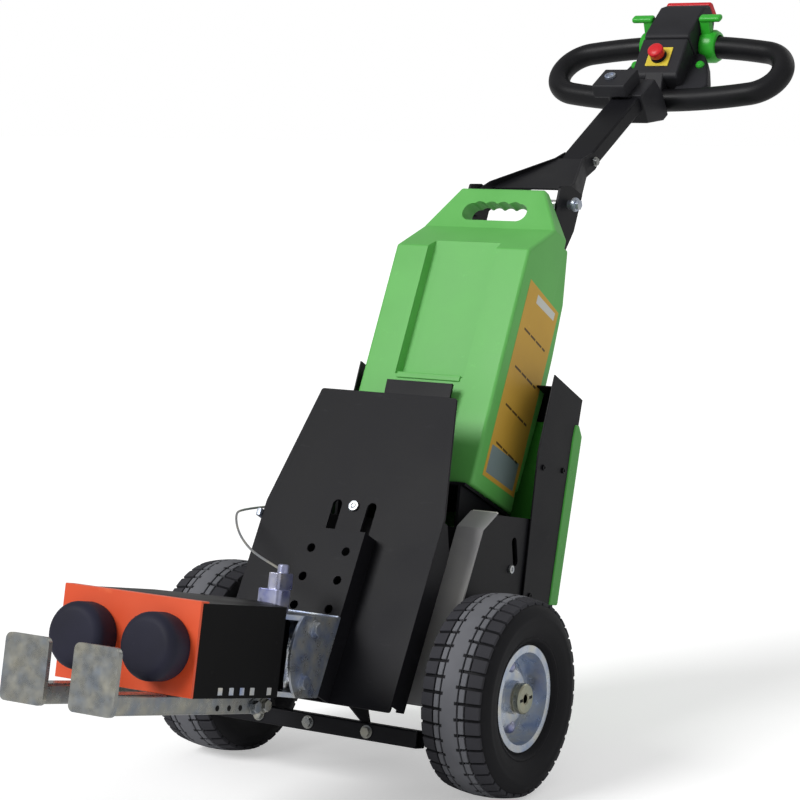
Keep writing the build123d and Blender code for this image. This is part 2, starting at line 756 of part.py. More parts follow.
mast_rear = MAST_GAP + MAST_WIDTH
for name, side in SIDES:
    with BuildPart() as mast:
        with BuildSketch(side_view(back, side * MAST_HALF)) as mast_side:
            with BuildLine():
                Polyline(
                    (MAST_GAP, deck_in_back(MAST_GAP)),
                    (mast_rear, deck_in_back(mast_rear)),
                    (mast_rear, MAST_SHOULDER),
                    (PIVOT_BACK + MAST_END_R, PIVOT_RISE - MAST_END_R),
                    (PIVOT_BACK + MAST_END_R + PLATE, PIVOT_RISE + MAST_END_R),
                    (PIVOT_BACK, PIVOT_RISE + 1.5 * MAST_END_R),
                    (MAST_GAP, PIVOT_RISE + MAST_END_R / 2),
                    close=True,
                )
            make_face()
            fillet(mast_side.vertices().group_by(Axis.Y)[-4:], MAST_END_R / 4)
            with Locations((PIVOT_BACK, PIVOT_RISE)):
                Circle(PIVOT_R + RUN_CLEARANCE, mode=Mode.SUBTRACT)
        extrude(amount=-side * PLATE)
    save(mast, f"mast_{name}")

with BuildPart() as brace:
    with BuildSketch(side_view(back, PLATE - MAST_HALF)):
        with Locations((mast_rear - PLATE / 2, (BRACE_FOOT + BRACE_TOP) / 2)):
            Rectangle(PLATE, BRACE_TOP - BRACE_FOOT)
    extrude(amount=2 * (MAST_HALF - PLATE))
save(brace, "mast_brace")

# Rear cover: a hollow hood round the battery's back, with skirts down beside the chassis
bay_half = BATTERY_HALF + BAY_GAP
hood_foot = SIDE_TOP + 2
rear_lean = (PANEL_TOP[0] - PANEL_FOOT[0]) / (PANEL_TOP[1] - PANEL_FOOT[1])


def rear_point(z, inset=0.0):
    """The cover's rear wall at the machine's height z, drawn in by inset."""
    return (PANEL_FOOT[0] + (z - PANEL_FOOT[1]) * rear_lean - inset, z)


with BuildPart() as cover:
    with BuildSketch(side_view(machine, -COVER_HALF)):
        with BuildLine():
            Polyline(
                (COVER_FRONT, hood_foot),
                (COVER_FRONT, COVER_FOLD),
                COVER_TOP_FRONT,
                COVER_TOP_REAR,
                PANEL_TOP,
                rear_point(hood_foot),
                close=True,
            )
        make_face()
    extrude(amount=2 * COVER_HALF)
    with BuildSketch(side_view(back, -bay_half)):
        with Locations((BAY_GAP - COVER_FRONT, BATTERY_TOP / 2)):
            Rectangle(2 * COVER_FRONT, 2 * BATTERY_TOP)
    extrude(amount=2 * bay_half, mode=Mode.SUBTRACT)
    hood_floor = cover.faces().filter_by(Axis(machine.origin, machine.z_dir)).sort_by(
        Axis(machine.origin, machine.z_dir)
    )
    offset(amount=-SHEET, openings=hood_floor[0], kind=Kind.INTERSECTION)
    for name, side in SIDES:
        with BuildSketch(side_view(machine, side * COVER_HALF)):
            with BuildLine():
                Polyline(
                    (COVER_FRONT, hood_foot),
                    (COVER_FRONT, COVER_FOOT),
                    (PANEL_FOOT[0], COVER_FOOT),
                    PANEL_FOOT,
                    rear_point(hood_foot),
                    close=True,
                )
            make_face()
        extrude(amount=-side * SHEET)
        with BuildSketch(side_view(back, side * (MAST_HALF + 1))):
            with Locations(((MAST_GAP + mast_rear) / 2, PIVOT_RISE / 2)):
                Rectangle(MAST_WIDTH + 1, PIVOT_RISE)
        extrude(amount=-side * (PLATE + 2), mode=Mode.SUBTRACT)
    with BuildSketch(side_view(machine, -COVER_HALF)):
        with BuildLine():
            Polyline(
                (PANEL_FOOT[0], COVER_FOOT),
                PANEL_FOOT,
                rear_point(hood_foot),
                rear_point(hood_foot, SHEET),
                rear_point(PANEL_FOOT[1], SHEET),
                (PANEL_FOOT[0] - SHEET, COVER_FOOT),
                close=True,
            )
        make_face()
    extrude(amount=2 * COVER_HALF)
save(cover, "rear_cover")

# Rear panel: a shallow coloured lid on the cover's rear wall
with BuildPart() as panel:
    with BuildSketch(side_view(machine, -PANEL_HALF)):
        with BuildLine():
            Polyline(
                PANEL_FOOT,
                PANEL_TOP,
                (PANEL_TOP[0] + PANEL_DEPTH, PANEL_TOP[1] - PANEL_DEPTH),
                (PANEL_FOOT[0] + PANEL_DEPTH, PANEL_FOOT[1]),
                close=True,
            )
        make_face()
    extrude(amount=2 * PANEL_HALF)
    fillet(panel.edges().group_by(Axis.Y)[-3:], 4)
save(panel, "rear_panel")

# Castor: a plate with two cheeks on the chassis, a swivelling fork and a trailing wheel
plate_rear = CASTOR_Y + CASTOR_PLATE_LENGTH / 2
plate_front = CASTOR_Y - CASTOR_PLATE_LENGTH / 2
race_foot = CASTOR_TOP - RACE_HEIGHT
wall_foot = seen_from(level, machine, CHASSIS_REAR, CHASSIS_REAR_FOOT)
wall_high = seen_from(level, machine, CHASSIS_REAR, COVER_FOOT - CHEEK_GAP)
with BuildPart() as castor_mount:
    with BuildSketch(level.offset(CASTOR_TOP)):
        with Locations((0, CASTOR_Y)):
            RectangleRounded(2 * CASTOR_PLATE_HALF, CASTOR_PLATE_LENGTH, 6)
    extrude(amount=PLATE)
    for name, side in SIDES:
        with BuildSketch(side_view(level, side * (CASTOR_PLATE_HALF - 6))):
            with BuildLine():
                Polyline(
                    (wall_foot[0], CASTOR_TOP + PLATE),
                    (plate_rear - 6, CASTOR_TOP + PLATE),
                    (plate_rear - 6, CASTOR_TOP + 4 * PLATE),
                    wall_high,
                    wall_foot,
                    close=True,
                )
            make_face()
        extrude(amount=-side * PLATE)
    with BuildSketch(level.offset(race_foot + 1)):
        with Locations((0, CASTOR_Y)):
            Circle(RACE_R)
            Circle(CASTOR_PIN_R + RUN_CLEARANCE, mode=Mode.SUBTRACT)
    extrude(amount=CASTOR_TOP - race_foot - 1)
save(castor_mount, "castor_bracket")

fork_crown = 2 * CASTOR_R + PLATE
hub_gap = 1.0
with BuildPart() as fork:
    with BuildSketch(level.offset(fork_crown)):
        with Locations((0, CASTOR_Y)):
            Circle(RACE_R)
    extrude(amount=race_foot - fork_crown)
    with BuildSketch(level.offset(race_foot)):
        with Locations((0, CASTOR_Y)):
            Circle(CASTOR_PIN_R)
    extrude(amount=RACE_HEIGHT)
    for name, side in SIDES:
        with BuildSketch(side_view(level, side * (CASTOR_HUB_HALF + hub_gap))):
            with BuildLine():
                Polyline(
                    (CASTOR_Y - RACE_R + 6, race_foot - FORK_WALL),
                    (CASTOR_Y + RACE_R - 6, race_foot - FORK_WALL),
                    (CASTOR_Y + CASTOR_TRAIL + 13, CASTOR_R),
                )
                ThreePointArc(
                    (CASTOR_Y + CASTOR_TRAIL + 13, CASTOR_R),
                    (CASTOR_Y + CASTOR_TRAIL, CASTOR_R - 13),
                    (CASTOR_Y + CASTOR_TRAIL - 13, CASTOR_R),
                )
                Line((CASTOR_Y + CASTOR_TRAIL - 13, CASTOR_R), (CASTOR_Y - RACE_R + 6, race_foot - FORK_WALL))
            make_face()
        extrude(amount=side * FORK_WALL)
    with BuildSketch(level.offset(fork_crown)):
        with Locations((0, CASTOR_Y)):
            Rectangle(2 * (CASTOR_HUB_HALF + hub_gap + FORK_WALL), 2 * (RACE_R - 6))
    extrude(amount=FORK_WALL)
    with BuildSketch(side_view(level, -CASTOR_HUB_HALF - hub_gap - FORK_WALL - 4)):
        with Locations((CASTOR_Y + CASTOR_TRAIL, CASTOR_R)):
            Circle(CASTOR_PIN_R)
    extrude(amount=2 * (CASTOR_HUB_HALF + hub_gap + FORK_WALL + 4))
save(fork, "castor_fork")

castor_spot = (CASTOR_Y + CASTOR_TRAIL, CASTOR_R)
castor_section = Plane(origin=level.from_local_coords((0, *castor_spot)), x_dir=(1, 0, 0), z_dir=(0, -1, 0))
with BuildPart() as castor_wheel:
    with BuildSketch(castor_section) as wheel_half:
        with Locations((0, (CASTOR_R + CASTOR_PIN_R + RUN_CLEARANCE) / 2)):
            Rectangle(2 * CASTOR_HALF, CASTOR_R - CASTOR_PIN_R - RUN_CLEARANCE)
        with Locations((0, (CASTOR_PIN_R + 14) / 2 + RUN_CLEARANCE)):
            Rectangle(2 * CASTOR_HUB_HALF, 14 - CASTOR_PIN_R)
        fillet(wheel_half.vertices().group_by(Axis.Y)[-1], 8)
    revolve(axis=Axis(castor_section.origin, (1, 0, 0)))
save(castor_wheel, "castor_wheel")

# Coupling: a box of sheet on a knuckle round the king pin
with BuildPart() as housing:
    with BuildSketch(machine.offset(HOUSING_FOOT)):
        with BuildLine():
            Polyline(
                (-HOUSING_HALF, HOUSING_FRONT),
                (HOUSING_HALF, HOUSING_FRONT),
                (HOUSING_HALF, HOUSING_REAR),
                (KNUCKLE_R, NECK_Y),
                (-KNUCKLE_R, NECK_Y),
                (-HOUSING_HALF, HOUSING_REAR),
                close=True,
            )
        make_face()
    extrude(amount=HOUSING_TOP - HOUSING_FOOT)
    offset(amount=-SHEET, openings=housing.faces().sort_by(Axis(machine.origin, machine.y_dir))[0])
    knuckle_foot = EAR_FOOT + LUG + KNUCKLE_PLAY
    knuckle_top = EAR_TOP - LUG - KNUCKLE_PLAY
    with BuildSketch(machine.offset(knuckle_foot)):
        with Locations((0, PIN_Y)):
            Circle(KNUCKLE_R)
        with Locations((0, (PIN_Y + NECK_Y) / 2)):
            Rectangle(2 * KNUCKLE_R, PIN_Y - NECK_Y + 2 * SHEET)
        with Locations((0, PIN_Y)):
            Circle(PIN_R + RUN_CLEARANCE, mode=Mode.SUBTRACT)
    extrude(amount=knuckle_top - knuckle_foot)
save(housing, "hitch_housing")

# Bumper plate with a lip over the housing, and two round bumpers on it
with BuildPart() as bumper_plate:
    with BuildSketch(side_view(machine, -HOUSING_HALF)):
        with BuildLine():
            Polyline(
                (HOUSING_FRONT - BUMPER_SHEET, HOUSING_FOOT),
                (HOUSING_FRONT, HOUSING_FOOT),
                (HOUSING_FRONT, HOUSING_TOP),
                (HOUSING_FRONT + BUMPER_LIP, HOUSING_TOP),
                (HOUSING_FRONT + BUMPER_LIP, HOUSING_TOP + SHEET),
                (HOUSING_FRONT - BUMPER_SHEET, HOUSING_TOP + SHEET),
                close=True,
            )
        make_face()
    extrude(amount=2 * HOUSING_HALF)
save(bumper_plate, "bumper_plate")

for name, side in SIDES:
    with BuildPart() as bumper:
        with BuildSketch(front_view(machine, HOUSING_FRONT - BUMPER_SHEET)):
            with Locations((side * BUMPER_X, BUMPER_Z)):
                Circle(BUMPER_R)
        extrude(amount=BUMPER_LENGTH)
        fillet(bumper.edges().sort_by(Axis(machine.origin, machine.y_dir))[0], 9)
    save(bumper, f"bumper_{name}")

# Hook arms: square tubes under the housing, each with an upright tab at its front end
for name, side in SIDES:
    with BuildPart() as hook:
        with BuildSketch(front_view(machine, ARM_REAR)):
            with Locations((side * ARM_X, HOUSING_FOOT - ARM_HEIGHT / 2)):
                RectangleRounded(2 * ARM_HALF, ARM_HEIGHT, 4)
                Rectangle(2 * (ARM_HALF - ARM_WALL), ARM_HEIGHT - 2 * ARM_WALL, mode=Mode.SUBTRACT)
        extrude(amount=ARM_REAR - TAB_FACE - LUG)
        with BuildSketch(front_view(machine, TAB_FACE + LUG)):
            with Locations((side * ARM_X, (TAB_TOP + HOUSING_FOOT - ARM_HEIGHT) / 2)):
                RectangleRounded(2 * TAB_HALF, TAB_TOP - HOUSING_FOOT + ARM_HEIGHT, 10)
        extrude(amount=LUG)
    save(hook, f"hook_arm_{name}")

# Tiller yoke: a tapered fork between the mast's plates, with a web over it
yoke_half = MAST_HALF - PLATE - YOKE_PLAY
knee_half = ARM_WIDTH / 2 + PLATE
knee_start = YOKE_LENGTH - knee_half
with BuildPart() as yoke_fork:
    with BuildSketch(yoke.offset(-YOKE_END_R)):
        for name, side in SIDES:
            with BuildLine():
                Polyline(
                    (side * yoke_half, -YOKE_END_R),
                    (side * yoke_half, YOKE_STRAIGHT),
                    (side * knee_half, knee_start),
                    (side * knee_half, YOKE_LENGTH + YOKE_KNEE_R),
                    (side * (knee_half - PLATE), YOKE_LENGTH + YOKE_KNEE_R),
                    (side * (knee_half - PLATE), knee_start - PLATE / 2),
                    (side * (yoke_half - PLATE), YOKE_STRAIGHT - PLATE / 2),
                    (side * (yoke_half - PLATE), -YOKE_END_R),
                    close=True,
                )
            make_face()
    extrude(amount=2 * YOKE_END_R)
    with BuildSketch(yoke.offset(YOKE_KNEE_R)):
        with BuildLine():
            Polyline(
                (-yoke_half + 1, YOKE_STRAIGHT),
                (yoke_half - 1, YOKE_STRAIGHT),
                (knee_half - 1, knee_start),
                (knee_half - 1, YOKE_LENGTH - ARM_LAP - PLATE),
                (1 - knee_half, YOKE_LENGTH - ARM_LAP - PLATE),
                (1 - knee_half, knee_start),
                close=True,
            )
        make_face()
    extrude(amount=-PLATE)
    with BuildSketch(side_view(yoke, -yoke_half)):
        Circle(YOKE_END_R)
        with Locations((YOKE_LENGTH, 0)):
            Circle(YOKE_KNEE_R)
        make_hull()
    extrude(amount=2 * yoke_half, mode=Mode.INTERSECT)
    with BuildSketch(side_view(yoke, -yoke_half)):
        Circle(PIVOT_R + RUN_CLEARANCE)
    extrude(amount=2 * yoke_half, mode=Mode.SUBTRACT)
save(yoke_fork, "tiller_yoke")

with BuildPart() as pivot:
    with BuildSketch(side_view(yoke, -MAST_HALF - PLATE)):
        Circle(PIVOT_R)
    extrude(amount=2 * (MAST_HALF + PLATE))
    for name, side in SIDES:
        with BuildSketch(side_view(yoke, side * MAST_HALF)):
            Circle(PIVOT_R + PLATE)
        extrude(amount=side * PLATE)
save(pivot, "tiller_pivot")

# Tiller arm: a rectangular tube from the yoke's knee up to the head
with BuildPart() as shaft:
    with BuildSketch(front_view(arm, ARM_LENGTH)):
        RectangleRounded(ARM_WIDTH, ARM_DEPTH, 4)
        Rectangle(ARM_WIDTH - 2 * SHEET, ARM_DEPTH - 2 * SHEET, mode=Mode.SUBTRACT)
    extrude(amount=ARM_LENGTH + ARM_LAP)
save(shaft, "tiller_arm")

# Handle ring: one closed loop of four tangent arcs, long sides nearly straight
half_depth = RING_DEPTH / 2
end_x = RING_HALF - RING_END_R
side_r = (end_x**2 + half_depth**2 - RING_END_R**2) / (2 * (half_depth - RING_END_R))
join_x = end_x + RING_END_R * end_x / (side_r - RING_END_R)
join_y = RING_END_R * (side_r - half_depth) / (side_r - RING_END_R)


def ring_side(x):
    """Height of the ring's long side at x, from the ring's middle."""
    return (side_r**2 - x**2) ** 0.5 - side_r + half_depth


near_y = half_depth - join_y
far_y = half_depth + join_y
quarter_y = half_depth - ring_side(join_x / 2)
with BuildLine(head) as ring_line:
    ThreePointArc((0, 0), (-join_x / 2, quarter_y), (-join_x, near_y))
    ThreePointArc((-join_x, near_y), (-RING_HALF, half_depth), (-join_x, far_y))
    ThreePointArc((-join_x, far_y), (0, RING_DEPTH), (join_x, far_y))
    ThreePointArc((join_x, far_y), (RING_HALF, half_depth), (join_x, near_y))
    ThreePointArc((join_x, near_y), (join_x / 2, quarter_y), (0, 0))
ring_start = Plane(origin=head.origin, z_dir=-head.x_dir)
with BuildPart() as ring:
    with BuildSketch(ring_start):
        Circle(GRIP_R)
    sweep(path=ring_line.line)
save(ring, "handle_ring")

# Console: a wedge over the ring's middle, holding both of its long sides
with BuildPart() as console:
    with BuildSketch(side_view(head, -CONSOLE_HALF)) as wedge:
        with BuildLine():
            Polyline(
                (CONSOLE_LIP[0], -GRIP_R - SHEET),
                CONSOLE_LIP,
                CONSOLE_CREST,
                CONSOLE_BACK,
                CONSOLE_END,
                (CONSOLE_END[0], 8),
                (RING_DEPTH + GRIP_R + 8, -GRIP_R - SHEET),
                close=True,
            )
        make_face()
    extrude(amount=2 * CONSOLE_HALF)
    fillet(console.edges().filter_by(Axis.X), 5)
    chamfer(console.edges().group_by(Axis.X)[-1] + console.edges().group_by(Axis.X)[0], 4)
with BuildPart() as ring_room:
    with BuildSketch(ring_start):
        Circle(GRIP_R + SEAT)
    sweep(path=ring_line.line)
with BuildPart() as console_body:
    add(console.part)
    add(ring_room.part, mode=Mode.SUBTRACT)
save(console_body, "console")

# Neck: a folded bracket that carries the console on the end of the arm
console_foot = seen_from(arm, head, CONSOLE_LIP[0], -GRIP_R - SHEET)
with BuildPart() as neck:
    with BuildSketch(side_view(arm, -NECK_HALF)):
        with BuildLine():
            Polyline(
                (ARM_LENGTH - 62, ARM_DEPTH / 2 + PLATE),
                (ARM_LENGTH - 62, -46),
                (ARM_LENGTH + 4, HEAD_BELOW - GRIP_R + 4),
                console_foot,
                seen_from(arm, head, CONSOLE_LIP[0], CONSOLE_LIP[1] - 2),
                (ARM_LENGTH + PLATE, ARM_DEPTH / 2 + PLATE),
                close=True,
            )
        make_face()
    extrude(amount=2 * NECK_HALF)
    with BuildSketch(front_view(arm, ARM_LENGTH)):
        Rectangle(ARM_WIDTH, ARM_DEPTH)
    extrude(amount=ARM_LENGTH, mode=Mode.SUBTRACT)
save(neck, "head_neck")

# Controls: a belly button, a stop button on its plate, two thumb drums and a key switch's box
with BuildPart() as belly:
    with BuildSketch(front_view(head, CONSOLE_END[0])):
        with Locations((0, 27)):
            RectangleRounded(76, 34, 8)
    extrude(amount=-14)
    fillet(belly.edges().group_by(Axis(head.origin, head.y_dir))[-1], 4)
save(belly, "belly_button")

crest_run = CONSOLE_CREST[0] - CONSOLE_LIP[0]
crest_rise = CONSOLE_CREST[1] - CONSOLE_LIP[1]
crest_y = CONSOLE_CREST[0] - ESTOP_R
crest_z = CONSOLE_CREST[1] - ESTOP_R * crest_rise / crest_run
crest = frame_at(head, crest_y, crest_z, -degrees(atan2(crest_rise, crest_run)))
with BuildPart() as stop_plate:
    with BuildSketch(crest):
        RectangleRounded(44, 40, 4)
    extrude(amount=2)
save(stop_plate, "estop_plate")

with BuildPart() as stop_button:
    with BuildSketch(crest.offset(2)):
        Circle(ESTOP_R * 0.6)
    extrude(amount=ESTOP_HEIGHT / 2)
    with BuildSketch(crest.offset(2 + ESTOP_HEIGHT / 2)):
        Circle(ESTOP_R)
    extrude(amount=ESTOP_HEIGHT / 2)
    fillet(stop_button.edges().group_by(Axis(crest.origin, crest.z_dir))[-1], 4)
save(stop_button, "estop_button")

for name, side in SIDES:
    with BuildPart() as throttle:
        with BuildSketch(side_view(head, side * CONSOLE_HALF)):
            with Locations((THROTTLE_Y, THROTTLE_Z)):
                Circle(THROTTLE_R)
            with BuildLine():
                Polyline(
                    (THROTTLE_Y - THROTTLE_R / 2, THROTTLE_Z + THROTTLE_R / 2),
                    (THROTTLE_Y - 1.6 * THROTTLE_R, THROTTLE_Z - 6),
                    (THROTTLE_Y - 1.9 * THROTTLE_R, THROTTLE_Z + 4),
                    (THROTTLE_Y - THROTTLE_R, THROTTLE_Z + 1.1 * THROTTLE_R),
                    (THROTTLE_Y, THROTTLE_Z + THROTTLE_R),
                    close=True,
                )
            make_face()
        extrude(amount=side * THROTTLE_WIDTH)
        with BuildSketch(side_view(head, side * CONSOLE_HALF)):
            with Locations((RING_DEPTH, 0)):
                Circle(GRIP_R + 2 * SEAT)
        extrude(amount=side * THROTTLE_WIDTH, mode=Mode.SUBTRACT)
        fillet(throttle.faces().sort_by(Axis.X)[-1 if side > 0 else 0].edges(), 3)
    save(throttle, f"throttle_{name}")

with BuildPart() as key_box:
    with BuildSketch(side_view(arm, -NECK_HALF)):
        with Locations((ARM_LENGTH - 40, ARM_DEPTH / 2 + PLATE + 14)):
            RectangleRounded(70, 28, 5)
    extrude(amount=70)
save(key_box, "key_box")
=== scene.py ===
import json
import math

import bpy
from mathutils import Matrix, Vector

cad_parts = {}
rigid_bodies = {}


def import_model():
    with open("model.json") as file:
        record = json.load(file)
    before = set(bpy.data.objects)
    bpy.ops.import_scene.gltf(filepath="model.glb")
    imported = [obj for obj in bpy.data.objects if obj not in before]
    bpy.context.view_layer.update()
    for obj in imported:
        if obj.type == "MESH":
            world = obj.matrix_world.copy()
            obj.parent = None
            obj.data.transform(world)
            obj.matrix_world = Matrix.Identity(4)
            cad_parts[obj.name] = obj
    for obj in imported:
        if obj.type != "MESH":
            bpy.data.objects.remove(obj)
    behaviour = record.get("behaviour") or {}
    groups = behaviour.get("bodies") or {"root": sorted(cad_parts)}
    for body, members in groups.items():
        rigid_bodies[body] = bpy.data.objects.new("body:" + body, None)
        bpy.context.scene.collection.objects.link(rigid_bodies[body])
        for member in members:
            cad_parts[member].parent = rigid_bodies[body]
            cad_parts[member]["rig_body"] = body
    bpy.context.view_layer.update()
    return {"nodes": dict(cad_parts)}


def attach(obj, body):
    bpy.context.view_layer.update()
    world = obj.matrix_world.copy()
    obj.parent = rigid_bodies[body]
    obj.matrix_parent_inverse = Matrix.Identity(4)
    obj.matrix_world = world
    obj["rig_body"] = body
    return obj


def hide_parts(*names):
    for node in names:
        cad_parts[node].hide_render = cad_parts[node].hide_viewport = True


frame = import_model()
MM = 0.001

# Driving dimensions in millimetres, the same as the solids have
WHEEL_R = 165
TRACK_HALF = 268
AXLE_Y = -236.2
PARK_LEAN = 11.9
PLATE_LEAN = 18.6
PLATE_FOOT = (-186, -39)
CHANNEL_DEPTH = 36.5
BATTERY_LEAN = 15.2
BATTERY_FOOT = (62, 336)
BATTERY_HALF = 136
BATTERY_DEPTH = 158
BACK_DRAFT = 4.583
PIVOT = (50, 588)
YOKE_RISE = 17.9
YOKE_LENGTH = 229
ARM_RISE = 28.5
ARM_LENGTH = 285
HEAD_SPOT = (337, -54)
RING_RISE = 42
RING_DEPTH = 162
HOUSING_HALF = 126
HOUSING_FRONT = -642
BUMPER_X = 67
BUMPER_Z = 46
BUMPER_R = 50
BUMPER_LENGTH = 46
BUMPER_SHEET = 6

# The photograph's camera, in metres and degrees
CAMERA_PLACE = (2.1781, -3.5730, 1.1418)
CAMERA_DOWN = 7.33
CAMERA_TURN = 32.2
LENS = 109.15

SIDES = (("left", -1), ("right", 1))


def frame_at(base, y=0, z=0, lean=0, x=0):
    """The frame at (x, y, z) millimetres of another one, leaning back by so many degrees more."""
    spot = Matrix.Translation(Vector((x, y, z)) * MM)
    return base @ spot @ Matrix.Rotation(-math.radians(lean), 4, "X")


ground = Matrix.Identity(4)
machine = frame_at(ground, AXLE_Y, WHEEL_R, PARK_LEAN)
plate = frame_at(machine, *PLATE_FOOT, PLATE_LEAN)
battery = frame_at(machine, *BATTERY_FOOT, BATTERY_LEAN)
back = frame_at(battery, BATTERY_DEPTH, 0, -BACK_DRAFT)
yoke = frame_at(back, *PIVOT, BACK_DRAFT - BATTERY_LEAN - PARK_LEAN - YOKE_RISE)
arm = frame_at(yoke, YOKE_LENGTH, 0, YOKE_RISE - ARM_RISE)
head = frame_at(arm, *HEAD_SPOT, ARM_RISE - RING_RISE)


def facing(base, x=0, y=0, z=0, way="up"):
    """A frame at (x, y, z) of another one whose upright points up, forward, back, left or right."""
    turns = {
        "up": (0, "X"), "forward": (90, "X"), "back": (-90, "X"),
        "right": (90, "Y"), "left": (-90, "Y"),
    }
    angle, axis = turns[way]
    spot = Matrix.Translation(Vector((x, y, z)) * MM)
    return base @ spot @ Matrix.Rotation(math.radians(angle), 4, axis)


def outward(side):
    """The way that a side's outer faces point."""
    return "right" if side > 0 else "left"


def linear(red, green, blue):
    """A screen colour of 0 to 255 as the shader's linear colour."""
    def one(value):
        value = value / 255
        return value / 12.92 if value <= 0.04045 else ((value + 0.055) / 1.055) ** 2.4

    return (one(red), one(green), one(blue), 1.0)


class Finish:
    """A material under construction: its tree, its shader and its object coordinates."""

    def __init__(self, name, roughness=0.5, metallic=0.0, specular=0.5):
        self.material = bpy.data.materials.new(name)
        self.material.use_nodes = True
        self.tree = self.material.node_tree
        self.shader = self.tree.nodes["Principled BSDF"]
        self.place = self.node("ShaderNodeTexCoord").outputs["Object"]
        self.shader.inputs["Roughness"].default_value = roughness
        self.shader.inputs["Metallic"].default_value = metallic
        self.shader.inputs["Specular IOR Level"].default_value = specular

    def node(self, kind, **values):
        made = self.tree.nodes.new(kind)
        for key, value in values.items():
            setattr(made, key, value)
        return made

    def link(self, output, socket):
        self.tree.links.new(output, socket)

    def noise(self, scale, detail=2.0, rough=0.5, stretch=(1, 1, 1)):
        """A noise pattern of so many waves a metre; stretch draws it out along an axis."""
        spread = self.node("ShaderNodeMapping")
        spread.inputs["Scale"].default_value = stretch
        self.link(self.place, spread.inputs["Vector"])
        pattern = self.node("ShaderNodeTexNoise")
        pattern.inputs["Scale"].default_value = scale
        pattern.inputs["Detail"].default_value = detail
        pattern.inputs["Roughness"].default_value = rough
        self.link(spread.outputs[0], pattern.inputs["Vector"])
        return pattern.outputs["Fac"]

    def ramp(self, source, *stops):
        """Colours at places along a 0 to 1 source."""
        ramp = self.node("ShaderNodeValToRGB")
        while len(ramp.color_ramp.elements) < len(stops):
            ramp.color_ramp.elements.new(0.5)
        for element, (place, colour) in zip(ramp.color_ramp.elements, stops):
            element.position = place
            element.color = colour
        self.link(source, ramp.inputs["Fac"])
        return ramp.outputs["Color"]

    def span(self, source, low, high, to_low, to_high):
        """A source's stretch from low to high, mapped to another stretch."""
        mapped = self.node("ShaderNodeMapRange")
        for socket, value in zip(mapped.inputs[1:5], (low, high, to_low, to_high)):
            socket.default_value = value
        self.link(source, mapped.inputs["Value"])
        return mapped.outputs["Result"]

    def mix(self, share, first, second):
        """Two colours mixed by a share."""
        mix = self.node("ShaderNodeMix", data_type="RGBA")
        self.link(share, mix.inputs["Factor"])
        for socket, colour in ((mix.inputs[6], first), (mix.inputs[7], second)):
            if isinstance(colour, tuple):
                socket.default_value = colour
            else:
                self.link(colour, socket)
        return mix.outputs[2]

    def colour(self, source):
        self.link(source, self.shader.inputs["Base Color"])

    def roughness(self, source, low, high):
        self.link(self.span(source, 0.3, 0.7, low, high), self.shader.inputs["Roughness"])

    def bump(self, source, depth, strength=1.0):
        """A relief so many metres deep, laid over what is there."""
        bump = self.node("ShaderNodeBump")
        bump.inputs["Strength"].default_value = strength
        bump.inputs["Distance"].default_value = depth
        self.link(source, bump.inputs["Height"])
        before = self.shader.inputs["Normal"]
        if before.is_linked:
            self.link(before.links[0].from_socket, bump.inputs["Normal"])
        self.link(bump.outputs["Normal"], before)


def powder_coat(name, tone, lit, roughness=0.4, grain=900, specular=0.4):
    """Baked powder coat: a fine orange peel, faint rub marks, slow changes of tone and gloss."""
    finish = Finish(name, roughness, 0.0, specular)
    slow = finish.noise(7, 3)
    coat = finish.ramp(slow, (0.35, tone), (0.7, lit))
    rubs = finish.span(finish.noise(55, 5, 0.7, (0.3, 1, 1)), 0.62, 0.74, 0, 0.35)
    finish.colour(finish.mix(rubs, coat, tuple(min(1, c * 1.7 + 0.012) for c in lit[:3]) + (1,)))
    finish.roughness(slow, roughness - 0.06, roughness + 0.08)
    finish.bump(finish.noise(grain, 1), 0.00012, 0.4)
    return finish.material


def zinc_plate(name, tone, blue, warm, roughness=0.3, metallic=0.75):
    """Bright zinc: metal with faint blue and straw clouds and fine drawing marks."""
    finish = Finish(name, roughness, metallic)
    clouds = finish.noise(34, 3, 0.5)
    finish.colour(finish.ramp(clouds, (0.3, blue), (0.5, tone), (0.7, warm)))
    finish.roughness(finish.noise(60, 3), roughness - 0.08, roughness + 0.14)
    finish.bump(finish.noise(120, 2, 0.5, (1, 0.3, 1)), 0.00015, 0.2)
    return finish.material


def moulded(name, tone, lit, roughness=0.45, grain=1400, specular=0.35):
    """Moulded plastic or rubber with a fine grain and a few dull scuffs."""
    finish = Finish(name, roughness, 0.0, specular)
    slow = finish.noise(9, 3)
    base = finish.ramp(slow, (0.3, tone), (0.7, lit))
    scuffs = finish.span(finish.noise(40, 6, 0.75), 0.63, 0.72, 0, 0.3)
    finish.colour(finish.mix(scuffs, base, tuple(min(1, c * 1.25 + 0.01) for c in lit[:3]) + (1,)))
    finish.roughness(slow, roughness - 0.05, roughness + 0.07)
    finish.bump(finish.noise(grain, 1), 0.00008, 0.45)
    return finish.material


